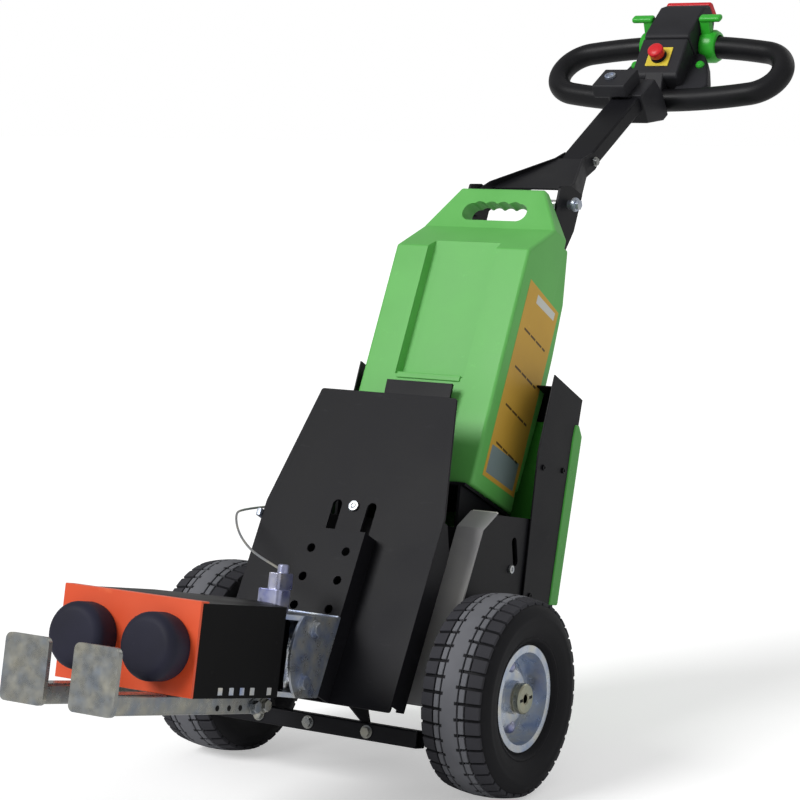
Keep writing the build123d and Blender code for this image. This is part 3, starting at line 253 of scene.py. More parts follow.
materials = {
    "tyre": moulded("tyre_rubber", linear(22, 22, 25), linear(30, 30, 33), 0.6, 1400, 0.15),
    # The shoulder and tread rubbers are the tyre's black rubber painted lighter: painted light on
    # the ribs' tops, the tread lighter than the shoulder
    "shoulder": moulded("shoulder_rubber_painted_lit", linear(50, 50, 54), linear(62, 62, 67), 0.8, 700, 0.2),
    "tread": moulded("tread_rubber_painted_lit", linear(96, 97, 102), linear(116, 117, 122), 0.85, 700, 0.25),
    "rim": zinc_plate(
        "rim_zinc", linear(196, 204, 216), linear(160, 178, 208),
        linear(214, 214, 208), 0.3,
    ),
    "axle": zinc_plate(
        "axle_steel", linear(158, 160, 142), linear(146, 152, 140),
        linear(172, 168, 146),
    ),
    "drive": powder_coat("drive_grey", linear(58, 58, 62), linear(68, 68, 72)),
    "black": powder_coat("frame_black", linear(20, 20, 23), linear(28, 28, 32), 0.42, 900, 0.14),
    "deep": powder_coat("housing_black", linear(12, 12, 13), linear(18, 18, 19), 0.45, 900, 0.08),
    # Painted highlight: a cream colour for the strip on the grey corner blocks' tops, where they
    # catch the light
    "top_highlight": powder_coat("corner_top_painted_highlight", linear(226, 224, 214), linear(238, 236, 226), 0.35),
    "corner": powder_coat("corner_grey", linear(150, 150, 152), linear(172, 171, 168), 0.35),
    "bracket": zinc_plate(
        "bracket_zinc", linear(186, 192, 200), linear(150, 164, 196),
        linear(206, 204, 196),
    ),
    "hook": zinc_plate(
        "hook_zinc", linear(150, 152, 150), linear(134, 142, 152),
        linear(170, 168, 156), 0.28,
    ),
    "pin": zinc_plate(
        "pin_zinc", linear(168, 172, 200), linear(120, 126, 186),
        linear(196, 194, 202),
    ),
    "wire": zinc_plate(
        "wire_steel", linear(170, 170, 170), linear(150, 156, 164),
        linear(186, 182, 168),
    ),
    "panel": powder_coat("panel_green", linear(64, 160, 52), linear(78, 174, 64), 0.32),
    "battery": moulded("battery_green", linear(98, 182, 88), linear(108, 192, 98), 0.42, 900),
    "orange": powder_coat("bumper_orange", linear(232, 84, 44), linear(240, 98, 58), 0.36),
    "bumper": moulded("bumper_rubber", linear(30, 30, 44), linear(42, 42, 60), 0.6, 1400, 0.25),
    "castor": moulded("castor_rubber", linear(48, 48, 48), linear(60, 60, 60), 0.6),
    "grip": moulded("grip_rubber", linear(16, 16, 18), linear(26, 26, 29), 0.42, 1800, 0.2),
    "head": moulded("head_black", linear(34, 34, 37), linear(46, 46, 50), 0.48, 1400, 0.2),
    "red": moulded("button_red", linear(206, 22, 34), linear(222, 40, 48), 0.28),
    "yellow": moulded("plate_yellow", linear(222, 200, 56), linear(234, 212, 72), 0.4),
    "thumb": moulded("thumb_green", linear(46, 172, 44), linear(60, 188, 58), 0.3),
    "label": moulded("label_amber", linear(206, 160, 58), linear(218, 174, 72), 0.5, 2500),
    "print": moulded("label_print", linear(84, 62, 34), linear(98, 74, 42), 0.5, 2500),
    "patch": moulded("label_patch", linear(206, 208, 200), linear(218, 220, 212), 0.45, 2500),
    "blank": moulded("label_blank", linear(122, 140, 142), linear(136, 152, 152), 0.45, 2500),
    # Painted shade: near black inlays where the hub slots, arm holes and the console's groove would
    # be dark, also used for the collar under the stop button
    "shade_fill": moulded("painted_shade_black", linear(8, 8, 9), linear(12, 12, 13), 0.8),
}

node_finish = {
    "rim": "rim", "axle": "axle", "drive_unit": "drive", "chassis_frame": "black",
    "side_block": "corner", "front_plate": "black", "slide_channel": "black",
    "hitch_bracket": "bracket", "king_pin": "pin", "crossbar": "black", "battery_case": "battery",
    "battery_tray": "black", "mast": "black", "mast_brace": "black", "rear_cover": "black",
    "rear_panel": "panel", "castor_bracket": "bracket", "castor_fork": "bracket",
    "castor_wheel": "castor", "hitch_housing": "deep", "bumper_plate": "orange", "bumper": "bumper",
    "hook_arm": "hook", "tiller_yoke": "black", "tiller_pivot": "bracket", "tiller_arm": "black",
    "handle_ring": "grip", "console": "head", "head_neck": "head", "belly_button": "red",
    "estop_plate": "yellow", "estop_button": "red", "throttle": "thumb", "key_box": "head",
    "tyre": "tyre", "pin_lanyard": "wire",
}


def finish_of(node):
    """The finish of a solid, by its name without its side."""
    return node_finish.get(node) or node_finish[node.rsplit("_", 1)[0]]


for node, solid in frame["nodes"].items():
    solid.data.materials.clear()
    solid.data.materials.append(materials[finish_of(node)])


def clear():
    bpy.ops.object.select_all(action="DESELECT")


def fit(piece, finish, body, *stands_for):
    """Dress a finished piece, let it ride on its body and hide the solids that it stands for."""
    piece.data.materials.clear()
    piece.data.materials.append(materials[finish])
    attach(piece, body)
    if stands_for:
        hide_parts(*stands_for)
    return piece


def drawn(name, points):
    """A new piece in edit mode: one line of edges through the points, in millimetres."""
    clear()
    bpy.ops.mesh.primitive_plane_add(size=1)
    piece = bpy.context.object
    piece.name = name
    bpy.ops.object.mode_set(mode="EDIT")
    bpy.ops.mesh.select_all(action="SELECT")
    bpy.ops.mesh.merge(type="CENTER")
    here = Vector((0, 0, 0))
    for count, point in enumerate(points):
        step = Vector(point) * MM - here
        here = Vector(point) * MM
        if count == 0:
            bpy.ops.transform.translate(value=step)
        else:
            bpy.ops.mesh.extrude_vertices_move(TRANSFORM_OT_translate={"value": step})
    bpy.ops.mesh.select_all(action="SELECT")
    return piece


def closed():
    """End of edit mode: doubles merged and faces turned outwards."""
    bpy.ops.mesh.select_all(action="SELECT")
    bpy.ops.mesh.remove_doubles(threshold=0.000005)
    bpy.ops.mesh.normals_make_consistent(inside=False)
    bpy.ops.object.mode_set(mode="OBJECT")


def rounded(piece, width, segments=2):
    """Sharp edges rounded to a width in millimetres, and the rest shaded smooth."""
    if width:
        bevel = piece.modifiers.new("edges", "BEVEL")
        bevel.width = width * MM
        bevel.segments = segments
        bevel.limit_method = "ANGLE"
        bevel.angle_limit = math.radians(34)
        bpy.ops.object.modifier_apply(modifier=bevel.name)
    bpy.ops.object.shade_smooth_by_angle(angle=math.radians(38))
    if width:
        flat = piece.modifiers.new("flat_faces", "WEIGHTED_NORMAL")
        flat.keep_sharp = True
        flat.weight = 80
        bpy.ops.object.modifier_apply(modifier=flat.name)
    return piece


def placed(piece, base):
    """Lay a piece's place into its mesh."""
    piece.matrix_world = base
    bpy.ops.object.transform_apply(location=True, rotation=True, scale=True)
    return piece


def turned(name, base, outline, steps=48, width=0.6):
    """A shape turned about a frame's upright, its outline through (radius, height) points."""
    piece = drawn(name, [(radius, 0, height) for radius, height in outline])
    bpy.ops.mesh.spin(steps=steps, angle=2 * math.pi, center=(0, 0, 0), axis=(0, 0, 1))
    closed()
    rounded(piece, width)
    return placed(piece, base)


def pressed(name, base, outline, depth, width=1.0, segments=2):
    """A flat outline of (x, y) points raised along a frame's upright, its edges rounded."""
    piece = drawn(name, [(x, y, 0) for x, y in outline] + [(*outline[0], 0)])
    bpy.ops.mesh.remove_doubles(threshold=0.000005)
    bpy.ops.mesh.select_all(action="SELECT")
    bpy.ops.mesh.edge_face_add()
    bpy.ops.mesh.extrude_region_move(TRANSFORM_OT_translate={"value": (0, 0, depth * MM)})
    closed()
    rounded(piece, width, segments)
    return placed(piece, base)


def block(name, base, middle, size, width=1.0, segments=2):
    """A box of a size about a middle point of a frame."""
    x, y, z = (length / 2 for length in size)
    spot = base @ Matrix.Translation(Vector(middle) * MM) @ Matrix.Translation((0, 0, -z * MM))
    return pressed(name, spot, ((-x, -y), (x, -y), (x, y), (-x, y)), size[2], width, segments)


SIDE_AXES = Matrix(((0, 0, 1, 0), (1, 0, 0, 0), (0, 1, 0, 0), (0, 0, 0, 1)))


def slab(name, outline, low, high, width, segments, base):
    """An outline of (y, z) points of a frame, from one x to another."""
    cut = base @ Matrix.Translation((low * MM, 0, 0)) @ SIDE_AXES
    return pressed(name, cut, outline, high - low, width, segments)


def ring_points(radius, count, start=0, end=360):
    """Points round a circle, or along an arc of it when the ends differ."""
    share = count if (end - start) % 360 == 0 else count - 1
    angles = [math.radians(start + (end - start) * k / share) for k in range(count)]
    return [(radius * math.cos(a), radius * math.sin(a)) for a in angles]


def capsule(first, second, radius, steps=7):
    """The outline round two points, so far away from them all round."""
    heading = math.degrees(math.atan2(second[1] - first[1], second[0] - first[0]))
    outline = []
    for (x, y), start in ((second, heading - 90), (first, heading + 90)):
        outline += [(x + u, y + v) for u, v in ring_points(radius, steps, start, start + 180)]
    return outline


def copied(pattern, bases):
    """The pattern's copies, one in each frame, each with its own mesh."""
    made = []
    for count, base in enumerate(bases, start=2):
        twin = pattern.copy()
        twin.data = pattern.data.copy()
        twin.name = f"{pattern.name}_{count}"
        twin.data.transform(base)
        bpy.context.scene.collection.objects.link(twin)
        made.append(twin)
    return made


def rows(name, finish, body, bases, make):
    """A small piece modelled once at the first frame and copied to the others."""
    first = make(name, bases[0])
    inverse = bases[0].inverted()
    for piece in [first] + copied(first, [base @ inverse for base in bases[1:]]):
        fit(piece, finish, body)


WASHER = 1.8
WASHER_SHARE = 0.72        # a washer's radius against the width of the bolt's head


def hex_bolt(across, height):
    """How a bolt is made: a washer and a six-sided head, rounded on top."""
    def make(name, base):
        rim = across * WASHER_SHARE
        bolt = turned(name, base, ((0, 0), (rim, 0), (rim, WASHER), (0, WASHER)), 28, 0.4)
        corner = across / 2 / math.cos(math.pi / 6)
        nut = pressed("head", base, ring_points(corner, 6), height, 0.9)
        bolt.select_set(True)
        nut.select_set(True)
        bpy.context.view_layer.objects.active = bolt
        bpy.ops.object.join()
        return bolt

    return make


def socket_screw(radius, height):
    """How a screw is made: a round head with a hollow in its top."""
    def make(name, base):
        hollow = ((radius * 0.5, height), (radius * 0.45, height / 2), (0, height / 2))
        outline = ((0, 0), (radius, 0), (radius, height)) + hollow
        return turned(name, base, outline, 24, 0.5)

    return make


def edged(node, width=0.8, reshape=None):
    """A merged copy of a solid with rounded edges, which stands for it; reshape moves its points."""
    solid = frame["nodes"][node]
    clear()
    piece = bpy.data.objects.new(f"{node}_dressed", solid.data.copy())
    bpy.context.scene.collection.objects.link(piece)
    piece.select_set(True)
    bpy.context.view_layer.objects.active = piece
    if piece.data.has_custom_normals:
        bpy.ops.mesh.customdata_custom_splitnormals_clear()
    bpy.ops.object.mode_set(mode="EDIT")
    bpy.ops.mesh.select_all(action="SELECT")
    bpy.ops.mesh.remove_doubles(threshold=0.000002)
    bpy.ops.mesh.dissolve_limited(angle_limit=math.radians(0.4))
    bpy.ops.object.mode_set(mode="OBJECT")
    if reshape:
        for vertex in piece.data.vertices:
            vertex.co = reshape(vertex.co)
    rounded(piece, width)
    return fit(piece, finish_of(node), solid["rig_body"], node)


MAST_DRAW_IN = 10
MAST_TOP = 622
YOKE_SHARE = 0.9
YOKE_END_SHARE = 0.72
TONGUE_TOP = 168


def lower_mast(side):
    """The mast's plate a little nearer the middle, with a lower top."""
    inverse = back.inverted()

    def move(point):
        x, y, z = inverse @ point
        return back @ Vector((x - side * MAST_DRAW_IN * MM, y, min(z, MAST_TOP * MM)))

    return move


def slimmer_yoke(point):
    """The yoke a little narrower, with a smaller round at its pivot end."""
    x, y, z = yoke.inverted() @ point
    share = YOKE_END_SHARE + (1 - YOKE_END_SHARE) * min(1, max(0, y / (YOKE_LENGTH * MM)))
    return yoke @ Vector((x * YOKE_SHARE, y, z * share))


def lower_tongue(point):
    """The tray's tongue cut down to show the ledge under the battery's recess."""
    x, y, z = battery.inverted() @ point
    return battery @ Vector((x, y, min(z, TONGUE_TOP * MM)))


RESHAPED = {"mast_left": lower_mast(-1), "mast_right": lower_mast(1), "tiller_yoke": slimmer_yoke,
            "battery_tray": lower_tongue}


SHEETS = {
    "front_plate": 1.2, "slide_channel": 1.0, "chassis_frame": 0.8, "side_block_left": 1.2,
    "side_block_right": 1.2, "hitch_bracket": 1.2, "hitch_housing": 0.8, "bumper_plate": 1.2,
    "hook_arm_left": 1.4, "hook_arm_right": 1.4, "crossbar": 0.8,
    "mast_left": 1.0, "mast_right": 1.0, "mast_brace": 1.0, "battery_tray": 1.0, "battery_case": 0,
    "tiller_yoke": 1.0, "tiller_arm": 0.8, "tiller_pivot": 0.8, "key_box": 1.5, "king_pin": 1.2,
    "castor_bracket": 1.0, "castor_fork": 1.0, "castor_wheel": 0, "drive_unit": 0.8,
    "rim_left": 0.6, "rim_right": 0.6, "axle_left": 0.8, "axle_right": 0.8, "handle_ring": 0,
}


def sheet_work():
    for node, width in SHEETS.items():
        edged(node, width, RESHAPED.get(node))


# Tyre
TREAD_HALF = 50
TREAD_DROP = 6
GROOVE = 5
PITCHES = 40
PITCH = 2 * math.pi / PITCHES
CUT_SHARE = 0.2            # how much of a pitch the cut across a rib takes
CUT_DEPTH = 4
CENTRE_HALF = 15
NARROW = (18, 27)
SHOULDER = (30, 53)
BEAD_RIDGE = ((42.7, 84), (43, 90), (50, 95), (52, 96), (53.5, 99), (52.6, 101))
SIDE_BULGE = ((56, 108), (59, 116), (60.6, 124), (60.8, 131), (61.4, 133), (61, 136), (59, 143),
              (56, 149))
WALL_END = 52


def wheel_frame(side):
    return facing(frame_at(ground, AXLE_Y, WHEEL_R, 0, side * TRACK_HALF), way=outward(side))


def crown(x, drop=0.0):
    """The tread's radius at x from the tyre's middle, less a drop."""
    return WHEEL_R - TREAD_DROP * (x / TREAD_HALF) ** 2 - drop


def sidewall(side):
    """The tyre's side from bead to shoulder, with a ridge by the rim and one below the tread."""
    wall = BEAD_RIDGE + SIDE_BULGE + ((WALL_END, crown(WALL_END, GROOVE)),)
    return [(radius, side * x) for x, radius in wall]


def swept(name, outline, start, share, steps):
    """A section of (radius, height) points swept along its share of a pitch, from a start."""
    line = [(radius, 0, height) for radius, height in outline]
    piece = drawn(name, line + line[:1])
    bpy.ops.mesh.remove_doubles(threshold=0.000005)
    bpy.ops.mesh.select_all(action="SELECT")
    bpy.ops.mesh.edge_face_add()
    bpy.ops.transform.rotate(value=start * PITCH, orient_axis="Z", center_override=(0, 0, 0))
    bpy.ops.mesh.spin(steps=steps, angle=share * PITCH, center=(0, 0, 0), axis=(0, 0, 1))
    closed()
    return piece


def all_round(piece, base):
    """A piece repeated once a pitch round the tyre."""
    bpy.ops.object.mode_set(mode="EDIT")
    bpy.ops.mesh.select_all(action="SELECT")
    bpy.ops.mesh.spin(
        steps=PITCHES - 1, dupli=True, angle=2 * math.pi - PITCH, center=(0, 0, 0), axis=(0, 0, 1)
    )
    bpy.ops.object.mode_set(mode="OBJECT")
    return placed(piece, base)


def rib(name, base, low, high, start, share):
    """The blocks of a rib between two distances from the middle, one for each pitch."""
    outline = [(crown(x), x) for x in (low, (low + high) / 2, high)]
    outline += [(crown(x, GROOVE + 1), x) for x in (high, low)]
    return all_round(rounded(swept(name, outline, start, share, 3), 0.6, 1), base)


def centre_cut(name, base, way, step):
    """Short notches in the centre rib's edge, painted as dark inlays of shade, one for each pitch.
    """
    low, high = sorted((way * CENTRE_HALF, way * (CENTRE_HALF - CUT_DEPTH)))
    outline = [(crown(x) + 0.15, x) for x in (low, high)]
    outline += [(crown(x, 2), x) for x in (high, low)]
    return all_round(swept(name, outline, step - CUT_SHARE, CUT_SHARE, 1), base)


def tyres():
    for name, side in SIDES:
        base = wheel_frame(side)
        body = f"wheel_{name}"
        bead = [(radius, side_x) for x, radius in BEAD_RIDGE[:1] for side_x in (-x, x)]
        floor_line = [(crown(x, GROOVE), x) for x in range(40, -41, -10)]
        outline = bead + sidewall(1)[1:] + floor_line + sidewall(-1)[::-1]
        fit(turned(f"tyre_{name}_carcass", base, outline, 120, 0), "tyre", body, f"tyre_{name}")
        centre = [(crown(x), x) for x in (-CENTRE_HALF, -8, 0, 8, CENTRE_HALF)]
        centre += [(crown(x, GROOVE + 1), x) for x in (CENTRE_HALF, -CENTRE_HALF)]
        fit(turned(f"tyre_{name}_centre", base, centre + centre[:1], 120, 0.8), "tread", body)
        # The ribs take the painted-light rubbers, so their tops carry painted light
        for hand, shift in ((1, 0), (-1, 0.5)):
            for low, high in (NARROW, SHOULDER):
                ends = (low, high) if hand > 0 else (-high, -low)
                piece = rib(f"tyre_{name}_rib", base, *ends, shift, 1 - CUT_SHARE)
                fit(piece, "tread" if low == NARROW[0] else "shoulder", body)
        # The notches are dark inlays of painted shade
        for step, way in ((0, 1), (0.5, -1)):
            cuts = centre_cut(f"tyre_{name}_cut", base, way, step)
            fit(cuts, "tyre", body)


# Wheel hardware
LUG_R = 50
LUG_FACE = 14
HUB_CAP = ((0, 37), (24, 37), (25, 39), (25, 47), (22.5, 49), (9, 49), (8, 47), (0, 47))
HUB_FACE = 49
SLOT_R = 15
DOME = ((0, 0), (11, 0), (11, 6), (9, 10), (5, 12.5), (0, 13.5))


def wheel_hardware():
    for name, side in SIDES:
        base = wheel_frame(side)
        spots = [facing(base, x, y, LUG_FACE) for x, y in ring_points(LUG_R, 4)]
        rows(f"wheel_bolt_{name}", "pin", f"wheel_{name}", spots, dome_bolt)
        cap = turned(f"hub_cap_{name}", base, HUB_CAP, 40, 0.5)
        fit(cap, "axle", f"wheel_{name}")
        slots = [facing(base, 0, y, HUB_FACE) for y in (-SLOT_R, SLOT_R)]
        rows(f"hub_slot_{name}", "shade_fill", f"wheel_{name}", slots, dark_slot)


def dome_bolt(name, base):
    return turned(name, base, DOME, 28, 0)


# A thin dark inlay of painted shade where a slot in the hub cap would be
def dark_slot(name, base):
    return block(name, base, (0, 0, 0.1), (5, 9, 0.4), 0.1, 1)


# Bumpers and coupling
BUMPER_EDGE = 15           # how wide a bumper's front edge is rounded
SIDE_HOLES = (-579, -551, -524, -498, -454)
SIDE_HOLE_Z = -11.4
ARM_FACE = 83
ARM_HOLES = (-520, -490, -461)
ARM_HOLE_Z = -42
ARM_NUTS = ((-426, -40), (-400, -38))


def coupling_dress():
    face = HOUSING_FRONT - BUMPER_SHEET
    for name, side in SIDES:
        edge = reversed(ring_points(BUMPER_EDGE, 8, 0, 90))
        middle = BUMPER_R - BUMPER_EDGE
        outline = [(0, BUMPER_LENGTH), (22, BUMPER_LENGTH - 0.4)]
        outline += [(middle + u, BUMPER_LENGTH - 1 - BUMPER_EDGE + v) for u, v in edge]
        outline += [(BUMPER_R, 6), (BUMPER_R - 1.5, 0), (0, 0)]
        base = facing(machine, side * BUMPER_X, face, BUMPER_Z, "forward")
        piece = turned(f"bumper_{name}_dressed", base, outline, 64, 0)
        fit(piece, "bumper", "hitch", f"bumper_{name}")
    squares = [facing(machine, HOUSING_HALF, y, SIDE_HOLE_Z, "right") for y in SIDE_HOLES]
    rows("housing_square", "bracket", "hitch", squares, square_boss)
    for name, side in SIDES:
        holes = [facing(machine, side * ARM_FACE, y, ARM_HOLE_Z, outward(side))
                 for y in ARM_HOLES]
        rows(f"arm_hole_{name}", "shade_fill", "hitch", holes, dark_disc)
        nuts = [facing(machine, side * ARM_FACE, y, z, outward(side))
                for y, z in ARM_NUTS]
        rows(f"arm_nut_{name}", "hook", "hitch", nuts, hex_bolt(17, 9))


def square_boss(name, base):
    return block(name, base, (0, 0, 0.5), (11, 11, 1), 0.3, 1)


# A thin dark disc of painted shade where a hole in the hook arm would be
def dark_disc(name, base):
    return turned(name, base, ((0, 0), (4.5, 0), (4.5, 0.4), (0, 0.4)), 20, 0.1)


# Front plate, bracket and crossbar hardware
SCREW_RISE = 335
BRACKET_BOLTS = ((-248, 78), (-268, -6))
CHASSIS_HALF = 195
CHASSIS_SCREW = (122, 202)
COVER_HALF = 200
COVER_SCREWS = ((190, 380), (262, 380), (190, 160))
PIVOT_END = 111
KNEE_END = 35


def plate_hardware():
    middle = [facing(plate, 0, -0.5, SCREW_RISE, "forward")]
    rows("plate_screw", "bracket", "root", middle, socket_screw(9, 4))
    ends = [facing(plate, x, -CHANNEL_DEPTH, z, "forward") for x in (-46, 46) for z in (8, 34)]
    rows("channel_bolt", "bracket", "root", ends, hex_bolt(15, 6))
    bars = [facing(machine, x, -134, -80, "forward") for x in (-106, -8, 106)]
    rows("crossbar_bolt", "hook", "root", bars, hex_bolt(15, 7))
    bracket_side = [facing(machine, 62, y, z, "right") for y, z in BRACKET_BOLTS]
    bracket_side += [facing(machine, -62, y, z, "left") for y, z in BRACKET_BOLTS]
    rows("bracket_bolt", "bracket", "root", bracket_side, hex_bolt(20, 8))
    for name, side in SIDES:
        way = outward(side)
        spots = [facing(machine, side * CHASSIS_HALF, *CHASSIS_SCREW, way)]
        rows(f"chassis_screw_{name}", "bracket", "root", spots, socket_screw(7, 4))
        covers = [facing(machine, side * COVER_HALF, y, z, way) for y, z in COVER_SCREWS]
        rows(f"cover_screw_{name}", "black", "root", covers, socket_screw(5, 3))
    pivots = [facing(yoke, side * PIVOT_END, 0, 0, outward(side)) for side in (1, -1)]
    rows("pivot_nut", "bracket", "root", pivots, hex_bolt(17, 8))
    knees = [facing(yoke, side * KNEE_END, YOKE_LENGTH, 0, outward(side)) for side in (1, -1)]
    rows("knee_bolt", "hook", "tiller", knees, hex_bolt(13, 6))


# Battery: the case's side walls reach further back than its middle, and a ledge closes its recess
CHEEK_IN = 109
CHEEK = ((-20, 40), (6, 40), (30, 220), (34, 290), (34, 392), (12, 488), (-20, 488))
LEDGE_Z = 186


def battery_walls():
    for name, side in SIDES:
        low, high = sorted((side * CHEEK_IN, side * (BATTERY_HALF - 0.2)))
        cheek = slab(f"battery_wall_{name}", CHEEK, low, high, 5, 3, back)
        fit(cheek, "battery", "battery")
    fit(block("battery_ledge", battery, (0, 7, LEDGE_Z), (128, 20, 11), 2), "battery", "battery")


# Battery label: a blank amber sticker with broken lines, a pale patch and a grey one
LABEL_FOOT = 28
LABEL_TOP = 388
LABEL_FRONT = 28
LABEL_REAR = 148
LABEL_LINES = (96, 166, 236, 306)
LINE_PARTS = ((46, 70), (73, 92), (95, 118), (121, 132))
LINE_HEIGHT = 4
LINE_SLOPE = 0.1
PALE_PATCH = ((64, 358), (136, 354), (136, 368), (64, 374))
GREY_PATCH = ((36, 36), (138, 36), (138, 86), (36, 86))


def label():
    side_face = facing(battery, BATTERY_HALF, 0, 0, "right")

    def sticker(name, finish, corners, lift=0.3, thick=0.15):
        outline = [(-z, y) for y, z in corners]
        base = side_face @ Matrix.Translation((0, 0, lift * MM))
        fit(pressed(name, base, outline, thick, 0.1, 1), finish, "battery")

    sheet = ((LABEL_FRONT, LABEL_FOOT), (LABEL_REAR, LABEL_FOOT), (LABEL_REAR, LABEL_TOP - 14),
             (LABEL_FRONT, LABEL_TOP))
    sticker("label_sheet", "label", sheet, 0, 0.35)
    sticker("label_pale", "patch", PALE_PATCH)
    sticker("label_grey", "blank", GREY_PATCH)
    for count, z in enumerate(LABEL_LINES, start=1):
        for part, (start, end) in enumerate(LINE_PARTS, start=1):
            low, high = (z - y * LINE_SLOPE for y in (start, end))
            corners = ((start, low), (end, high), (end, high + LINE_HEIGHT),
                       (start, low + LINE_HEIGHT))
            sticker(f"label_line_{count}_{part}", "print", corners)


# Rear cover: two side walls, a rear wall and a short sloping roof, open to the front
COVER_SHEET = 3
COVER_SIDE = ((168, 130), (168, 405), (198, 541), (308, 508), (303, 459), (278, 146), (278, 130))
COVER_REAR = ((275, 130), (278, 130), (278, 146), (303, 459), (308, 508), (305, 508), (300, 459),
              (275, 146))
COVER_ROOF = ((252, 524.8), (308, 508), (308, 504.8), (252, 521.6))
# A thin cream strip laid on each grey corner block's top, as painted highlight
TOP_HIGHLIGHT = ((9, 267), (50, 295), (54, 294), (54, 292), (50, 291), (10, 262.5))
TOP_HIGHLIGHT_ENDS = (152, 199)


def cover():
    parts = [slab("cover", COVER_REAR, -COVER_HALF, COVER_HALF, 0.8, 2, machine)]
    parts.append(slab("cover_roof", COVER_ROOF, -COVER_HALF, COVER_HALF, 0.6, 1, machine))
    for name, side in SIDES:
        low, high = sorted((side * COVER_HALF, side * (COVER_HALF - COVER_SHEET)))
        parts.append(slab(f"cover_{name}", COVER_SIDE, low, high, 0.8, 2, machine))
    clear()
    for part in parts:
        part.select_set(True)
    bpy.context.view_layer.objects.active = parts[0]
    bpy.ops.object.join()
    fit(parts[0], "black", "root", "rear_cover")
    # The cream strips on the corner blocks' tops are painted highlight
    for name, side in SIDES:
        low, high = sorted(side * x for x in TOP_HIGHLIGHT_ENDS)
        fit(slab(f"corner_leaf_{name}", TOP_HIGHLIGHT, low, high, 0.6, 1, machine), "top_highlight", "root")


# Rear panel: a coloured lid that laps round the cover's rear corners
LID_HALF = 202
LID_OUTLINE = ((262, 146), (284, 440), (289, 463), (303, 463), (318, 444), (293, 146))


def rear_lid():
    lid = side_prism("rear_panel_dressed", LID_OUTLINE, LID_HALF, 3, 3, machine)
    fit(lid, "panel", "root", "rear_panel")


# Head
TONGUE_HALF = 20
CONSOLE_HALF = 50
CREST = (34, 46)
CONSOLE_TOP = (132, 66)
CONSOLE_END = (237, 46)
GROOVE_Y = 116
GROOVE_WIDTH = 2.5
NECK_HALF = 37
WING = ((38, 4), (70, 6), (100, 14), (106, 34), (98, 60), (84, 96), (70, 122), (38, 134))
WING_BUTTON = ((0, 0), (9, 0), (9, 4), (6, 8), (0, 8.5))
BELLY_CAP = ((236, 4), (236, 47), (246, 46), (251, 38), (251, 12), (247, 4))
STOP_Y = 70
STOP_COLLAR = ((0, 2), (17, 2), (16, 6), (12, 8), (12, 10), (0, 10))
STOP_CAP = ((0, 8), (13.5, 8), (15.5, 11), (16, 20), (16.5, 22), (15.5, 25.5), (12, 28), (6, 28.8),
            (0, 29))
THUMB_COLLAR = ((23, 0), (32, 0), (33.5, 3), (33.5, 24), (29, 32), (23, 34), (23, 0))
KEY_SWITCH = ((0, 0), (11, 0), (11, 5), (8, 6), (8, 3), (0, 3))


def side_prism(name, outline, half, width=4, segments=3, base=None):
    """An outline of (y, z) points of the head, as wide as twice half."""
    return slab(name, outline, -half, half, width, segments, base or head)


def top_z(y):
    """The console's top at y, from its crest to its highest edge."""
    return CREST[1] + (y - CREST[0]) * (CONSOLE_TOP[1] - CREST[1]) / (CONSOLE_TOP[0] - CREST[0])


def console():
    tongue = ((-29, -25), (-29, 4), CREST, (60, 44), (60, -10), (20, -25))
    fit(side_prism("console_tongue", tongue, TONGUE_HALF, 3), "head", "tiller", "console")
    front = ((27, -8), (25, 38), CREST, (GROOVE_Y, top_z(GROOVE_Y)), (GROOVE_Y, -8))
    fit(side_prism("console_front", front, CONSOLE_HALF, 4), "head", "tiller")
    past = GROOVE_Y + GROOVE_WIDTH
    rear = ((past, -8), (past, top_z(GROOVE_Y)), CONSOLE_TOP, (214, 60), CONSOLE_END, (237, 8),
            (192, -24), (138, -24))
    fit(side_prism("console_rear", rear, CONSOLE_HALF, 5), "head", "tiller")
    # A dark core seen through the groove between the console's halves: painted shade in the groove
    core = ((60, -6), (60, 40), (200, 50), (200, -6))
    fit(side_prism("console_core", core, CONSOLE_HALF - 4, 1), "shade_fill", "tiller")
    for name, side in SIDES:
        wing = [(side * x, y) for x, y in WING]
        base = frame_at(head, 0, -15)
        fit(pressed(f"console_wing_{name}", base, wing, 30, 6, 3), "head", "tiller")
        button = turned(f"wing_button_{name}", facing(head, side * 72, 88, 14), WING_BUTTON, 24, 0.6)
        fit(button, "thumb", "tiller")
    belly = side_prism("belly_button_dressed", BELLY_CAP, CONSOLE_HALF - 1, 3)
    fit(belly, "red", "tiller", "belly_button")


def stop_switch():
    lean = -math.degrees(math.atan2(CONSOLE_TOP[1] - CREST[1], CONSOLE_TOP[0] - CREST[0]))
    crest = frame_at(head, STOP_Y, top_z(STOP_Y), lean)
    sheet = block("estop_plate_dressed", crest, (0, 0, 1.2), (50, 46, 2.4), 0.8)
    fit(sheet, "yellow", "tiller", "estop_plate")
    fit(turned("estop_collar", crest, STOP_COLLAR, 32), "shade_fill", "tiller")
    fit(turned("estop_button_dressed", crest, STOP_CAP, 40, 0), "red", "tiller", "estop_button")


def throttles():
    for name, side in SIDES:
        base = facing(head, side * (CONSOLE_HALF + 1), RING_DEPTH, 0, outward(side))
        collar = turned(f"throttle_{name}_dressed", base, THUMB_COLLAR, 40, 0.8)
        fit(collar, "thumb", "tiller", f"throttle_{name}")
        cut = head @ Matrix.Translation((side * (CONSOLE_HALF + 2) * MM, 0, 0)) @ Matrix(
            ((0, 0, side, 0), (1, 0, 0, 0), (0, side, 0, 0), (0, 0, 0, 1))
        )
        lever = [(y, side * z) for y, z in capsule((RING_DEPTH + 2, 20), (180, 56), 8)]
        fit(pressed(f"throttle_{name}_lever", cut, lever, 22, 3, 3), "thumb", "tiller")
        pad = [(y, side * z) for y, z in capsule((176, 60), (184, 58), 6)]
        fit(pressed(f"throttle_{name}_pad", cut, pad, 46, 4, 3), "thumb", "tiller")


